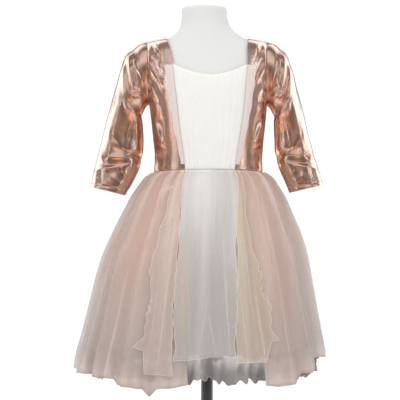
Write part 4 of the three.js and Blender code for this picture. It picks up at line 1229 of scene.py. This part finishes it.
def give_inputs(modifier, tree, **values):
    """Sets a modifier's inputs by the identifiers of the sockets that have these names."""
    for item in tree.interface.items_tree:
        key = item.name.lower().replace(" ", "_")
        if item.in_out == "INPUT" and key in values:
            modifier[item.identifier] = values[key]


def made_plain(piece, name):
    """The evaluated result as a plain mesh object, in place of the one with modifiers."""
    bpy.context.view_layer.update()
    seen = piece.evaluated_get(bpy.context.evaluated_depsgraph_get())
    mesh = bpy.data.meshes.new_from_object(seen)
    mesh.name = name
    bpy.data.objects.remove(piece)
    made = bpy.data.objects.new(name, mesh)
    bpy.context.collection.objects.link(made)
    return made


fold_tree = folding_tree()
print("nodes in the folding tree:", len(fold_tree.nodes))

# %% [markdown]
# ## Layers of the skirt
# From the inside out there are the opaque lining, the white petticoat, the pink nets round the sides and
# back, and three loose nets at the front. Their hems step, because each net is cut by hand and hangs as it
# likes. The hem tables hold a turn from the centre front, in degrees, and the height of the hem there.
# The petticoat's frill is the one hem that is worked out: sums of quick waves, crushed by a noise.

# %% Layers
SMALL_FOLDS = 9.0
FINE_GATHERS = 2.2
FOLD_SEED = 4.0
LINING_HEM = 388.0


def layer(name, node, turn, down, hem, insets, material, closed=False, ruffle=0.0, crumple=0.0):
    shape = bell(name + "_bell", node, turn, down, hem, *insets, closed=closed)
    modifier = shape.modifiers.new("folds", "NODES")
    modifier.node_group = fold_tree
    give_inputs(modifier, fold_tree, folds=float(FOLDS), depth_at_waist=FOLD_AT_WAIST * MM,
                depth_at_hem=FOLD_AT_HEM * MM, small_folds=SMALL_FOLDS * MM, gathers=FINE_GATHERS * MM,
                ruffle=ruffle * MM, crumple=crumple * MM, seed=FOLD_SEED, material=material)
    return thicken(made_plain(shape, name))


def whole_round(name, hem_of, insets, material, rows, columns, **more):
    i, j = grid(rows, columns, closed=True)
    turn = j * 360
    return layer(name, name, turn, i**1.3, hem_of(turn), insets, material, closed=True, **more)


def uneven(turn):
    """The same uneven turn as in the tree, so that the hem dips where the folds do."""
    return turn + 0.035 * np.sin(3 * turn + 1) + 0.02 * np.sin(7 * turn + 2)


lining = whole_round("skirt_lining_satin", lambda turn: np.full_like(turn, LINING_HEM), (3.6, 15), satin,
                     40, 240)
settle(lining, "satin", "skirt_lining_front", "skirt_lining_back")
PETTICOAT_GRID = (84, 540)


def petticoat_hem(turn):
    """The height of the gathered frill, which is never level."""
    t = turn * DEGREE
    return (341 + 3.5 * np.sin(FOLDS * uneven(t) + 0.8) + 2.6 * np.sin(47 * t + 2 * np.sin(3 * t))
            + 2.2 * np.sin(83 * t + 3 * np.sin(7 * t)) + 3 * np.sin(9 * t + 2))


petticoat = whole_round("petticoat_net", petticoat_hem, (1.8, 8), net_petticoat, *PETTICOAT_GRID,
                        ruffle=3.4, crumple=20.0)
settle(petticoat, "white_net", "petticoat_front", "petticoat_back")
print("petticoat area in m2:", round(area_of(petticoat.data), 3))

# %% [markdown]
# A net's edge is cut, not hemmed, and there the threads bunch up and catch the light as a pale line. So
# each loose net gets a thin roll along its edges, and the petticoat one along its hem. A roll is a piece of
# its own with a denser finish.

# %% Loose nets
def net_panel(name, edges, hem, insets, material, rows, columns, rolled=True, frayed=(1, 1)):
    i, j = grid(rows, columns)
    down = i**1.3
    first, last = curve(edges, "down", "start")(down), curve(edges, "down", "end")(down)
    if rolled:
        sway = (0.5 * np.sin(11 * down + last[0, -1]) + 0.3 * np.sin(27 * down + 2)
                + 0.2 * np.sin(71 * down + 5 * np.sin(9 * down))) * smooth(down, 0.05, 0.4)
        first, last = first + frayed[0] * sway, last - frayed[1] * sway[:, ::-1]
    turn = lerp(first, last, j)
    flutter = 0.9 * np.sin(turn * 0.31 + 1) + 0.5 * np.sin(turn * 0.9)
    piece = layer(name + "_sheer", name, turn, down, steps(hem, "turn", "z")(turn) + flutter * down, insets,
                  material)
    if rolled:
        add_rolls(piece, rows, columns)
    return piece


ROLL_RADIUS, ROLL_SIDES = 0.35, 6


def add_rolls(piece, rows, columns, closed=False):
    """Thin rolls along the hem of a grid, and along both sides if it is open.

    The grid's points come first in the thickened mesh, in the order they were given in."""
    mesh = piece.data
    points = np.empty(len(mesh.vertices) * 3)
    mesh.vertices.foreach_get("co", points)
    points = points.reshape(rows, columns, 3)
    border = points[-1] if closed else np.concatenate([points[:, 0], points[-1, 1:-1], points[::-1, -1]])
    ahead = np.roll(border, -1, 0) - np.roll(border, 1, 0)
    if not closed:
        ahead[0], ahead[-1] = border[1] - border[0], border[-1] - border[-2]
    ahead /= np.linalg.norm(ahead, axis=1)[:, None]
    out = border * (1, 1, 0)
    out /= np.linalg.norm(out, axis=1)[:, None]
    beside = np.cross(ahead, out)
    beside /= np.linalg.norm(beside, axis=1)[:, None]
    up = np.cross(beside, ahead)
    sides = ROLL_SIDES
    rings = [border + ROLL_RADIUS * MM * (math.cos(a) * beside + math.sin(a) * up)
             for a in np.linspace(0, 2 * math.pi, sides, endpoint=False)]
    tube = np.stack(rings, axis=1)
    count = len(tube)
    faces = []
    for k in range(count - (not closed)):
        here, there = k * sides, (k + 1) % count * sides
        faces += [[here + s, here + (s + 1) % sides, there + (s + 1) % sides, there + s]
                  for s in range(sides)]
    if not closed:
        faces += [list(range(sides))[::-1], [(count - 1) * sides + s for s in range(sides)]]
    roll = mesh_object(piece.name + "_edge", tube.reshape(-1, 3).tolist(), faces, net_edge)
    turn_outwards(roll)
    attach(roll, BODY)
    edge_rolls.setdefault(piece.name, []).append(roll)


def turn_outwards(piece):
    import bmesh
    bm = bmesh.new()
    bm.from_mesh(piece.data)
    bmesh.ops.recalc_face_normals(bm, faces=bm.faces)
    bm.to_mesh(piece.data)
    bm.free()


edge_rolls = {}
PINK_INSETS, TOP_INSETS = (0, 0), (-2.2, -7)
NETS = {
    "net_pink_right": dict(
        edges=table("down start end", (0, -179.85, -19), (0.5, -179.95, -12), (1, -179.96, -8)),
        hem=table(
            "turn z",
            (-180, 346), (-90, 345), (-44, 342), (-41, 331), (-28, 330), (-24.5, 316), (-21, 329),
            (-13, 333), (-8, 340)),
        insets=PINK_INSETS, material=net_pink, rows=60, columns=230, rolled=False),
    "net_pink_left": dict(
        edges=table("down start end", (0, 22, 179.85), (0.5, 25, 179.95), (1, 28, 179.96)),
        hem=table(
            "turn z",
            (28, 334), (44, 331), (49, 350), (62, 351), (67, 371), (99, 373), (107, 352), (180, 346)),
        insets=PINK_INSETS, material=net_pink, rows=60, columns=210, rolled=False),
    "net_top_right": dict(
        edges=table(
            "down start end",
            (0, -24, -19.2), (0.15, -27.4, -17.6), (0.5, -28.2, -15.6), (0.9, -28.6, -14.7),
            (1, -31, -14.5)),
        hem=table("turn z", (-31, 400), (-28, 397), (-26.5, 356), (-14, 354)),
        insets=TOP_INSETS, material=net_blush, rows=150, columns=50, frayed=(2.0, 0.8)),
    "net_top_centre": dict(
        edges=table(
            "down start end",
            (0, -18.8, 22.6), (0.15, -17.3, 19.6), (0.5, -15.3, 15.2), (1, -14.2, 13)),
        hem=table("turn z", (-15, 379), (-2, 385), (14, 387)),
        insets=TOP_INSETS, material=net_white, rows=60, columns=90),
    "net_top_left": dict(
        edges=table(
            "down start end",
            (0, 23, 27), (0.15, 19.9, 25.4), (0.32, 17.4, 24), (0.5, 15.5, 29), (0.9, 13.6, 31),
            (1, 13.3, 34)),
        hem=table("turn z", (13, 378), (28, 375), (31, 412), (34, 414)),
        insets=TOP_INSETS, material=net_cream, rows=150, columns=60, frayed=(0.8, 2.2)),
}
SLOTS = {"net_pink_right": "pink_net", "net_pink_left": "pink_net", "net_top_right": "pink_net",
         "net_top_centre": "white_net", "net_top_left": "cream_net"}
nets = {}
for node, facts in NETS.items():
    nets[node] = settle(net_panel(node, **facts), SLOTS[node], node)
add_rolls(petticoat, *PETTICOAT_GRID, closed=True)
print("nets:", len(nets))

# %% [markdown]
# ## Stitches
# The cuffs are turned up and held by two rows of stitches. A stitch is a short bar that dips into the
# cloth at its ends. Geometry Nodes places one on each point of a curve that is resampled at the length of
# a stitch, turned along the curve, so the whole row follows the cuff.

# %% The tree that stitches
def stitching_tree():
    tree = bpy.data.node_groups.new("row_of_stitches", "GeometryNodeTree")
    face = tree.interface
    face.new_socket("Geometry", in_out="INPUT", socket_type="NodeSocketGeometry")
    for name, kind in (("Spacing", "NodeSocketFloat"), ("Length", "NodeSocketFloat"),
                       ("Thread", "NodeSocketFloat"), ("Material", "NodeSocketMaterial")):
        face.new_socket(name, in_out="INPUT", socket_type=kind)
    face.new_socket("Geometry", in_out="OUTPUT", socket_type="NodeSocketGeometry")
    start = tree.nodes.new("NodeGroupInput").outputs
    line = put(tree, "GeometryNodeMeshToCurve", {0: start["Geometry"]})
    spaced = put(tree, "GeometryNodeResampleCurve", {"Curve": line.outputs[0], "Length": start["Spacing"]},
                 mode="LENGTH")
    bar = put(tree, "GeometryNodeMeshCylinder", {"Vertices": 6, "Radius": start["Thread"],
                                                 "Depth": start["Length"]})
    tangent = put(tree, "GeometryNodeInputTangent")
    facing = put(tree, "FunctionNodeAlignRotationToVector", {"Vector": tangent.outputs[0]}, axis="Z")
    placed = put(tree, "GeometryNodeInstanceOnPoints", {
        "Points": spaced.outputs[0], "Instance": bar.outputs[0], "Rotation": facing.outputs[0]})
    real = put(tree, "GeometryNodeRealizeInstances", {0: placed.outputs[0]})
    dressed = put(tree, "GeometryNodeSetMaterial", {"Geometry": real.outputs[0],
                                                    "Material": start["Material"]})
    put(tree, "NodeGroupOutput", {0: dressed.outputs[0]})
    return tree


stitch_tree = stitching_tree()
thread, tree, shader = new_material("thread")
where = put(tree, "ShaderNodeTexCoord")
ply = put(tree, "ShaderNodeTexNoise", {"Vector": where.outputs["Object"], "Scale": 2500.0})
coloured(tree, shader, ply.outputs["Fac"], [(0.3, (0.42, 0.24, 0.17)), (0.7, (0.66, 0.44, 0.34))])
shader.inputs["Roughness"].default_value = 0.6
print("nodes in the stitching tree:", len(stitch_tree.nodes))

# %% Rows of stitches
STITCH_SPACING, STITCH_LENGTH, STITCH_THREAD = 2.6, 1.9, 0.22
STITCH_SINK = 0.45
CUFF_ROWS = (("upper", 11.58), ("lower", 11.66))


def stitched(name, points):
    count = len(points)
    edges = [(k, (k + 1) % count) for k in range(count)]
    mesh = bpy.data.meshes.new(name)
    mesh.from_pydata((points * MM).tolist(), edges, [])
    row = linked(mesh)
    modifier = row.modifiers.new("stitches", "NODES")
    modifier.node_group = stitch_tree
    give_inputs(modifier, stitch_tree, spacing=STITCH_SPACING * MM, length=STITCH_LENGTH * MM,
                thread=STITCH_THREAD * MM, material=thread)
    made = made_plain(row, name)
    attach(made, BODY)
    return made


for name, side in (("right", -1), ("left", 1)):
    angle = np.linspace(0, 2 * math.pi, 120, endpoint=False)
    [
        stitched(f"cuff_{name}_stitches_{row}",
                 sleeve_points(side, SLEEVES[name], np.full_like(angle, place), angle,
                               np.full_like(angle, -STITCH_SINK)))
        for row, place in CUFF_ROWS]

# %% [markdown]
# ## What each piece was cut to
# A maker cuts cloth flat. The size given for each piece is that of the flat pattern, before gathering. The
# true areas of the three loose nets, whose patterns aren't rectangles, are listed beside them but not used.

# %% Cloth sizes
def declare(piece, width, length):
    print(piece.name, "cut", width, "x", length, "m; made", round(area_of(piece.data), 4), "m2")


declare(panel, 0.14, 0.19)
declare(net, 0.20, 0.20)
for name in ("right", "left"):
    declare(sides[name], 0.12, 0.26)
    declare(bands_made[name], 0.016, 0.185)
    declare(sleeves[name], 0.26, 0.33)
declare(back, 0.30, 0.25)
declare(lining, 1.35, 0.34)
declare(petticoat, 1.60, 0.38)
declare(nets["net_pink_right"], 0.80, 0.40)
declare(nets["net_pink_left"], 0.72, 0.40)
for node, width, length, area in (("net_top_right", 0.09, 0.38, 0.017),
                                  ("net_top_centre", 0.15, 0.35, 0.040),
                                  ("net_top_left", 0.10, 0.36, 0.020)):
    declare(nets[node], width, length)
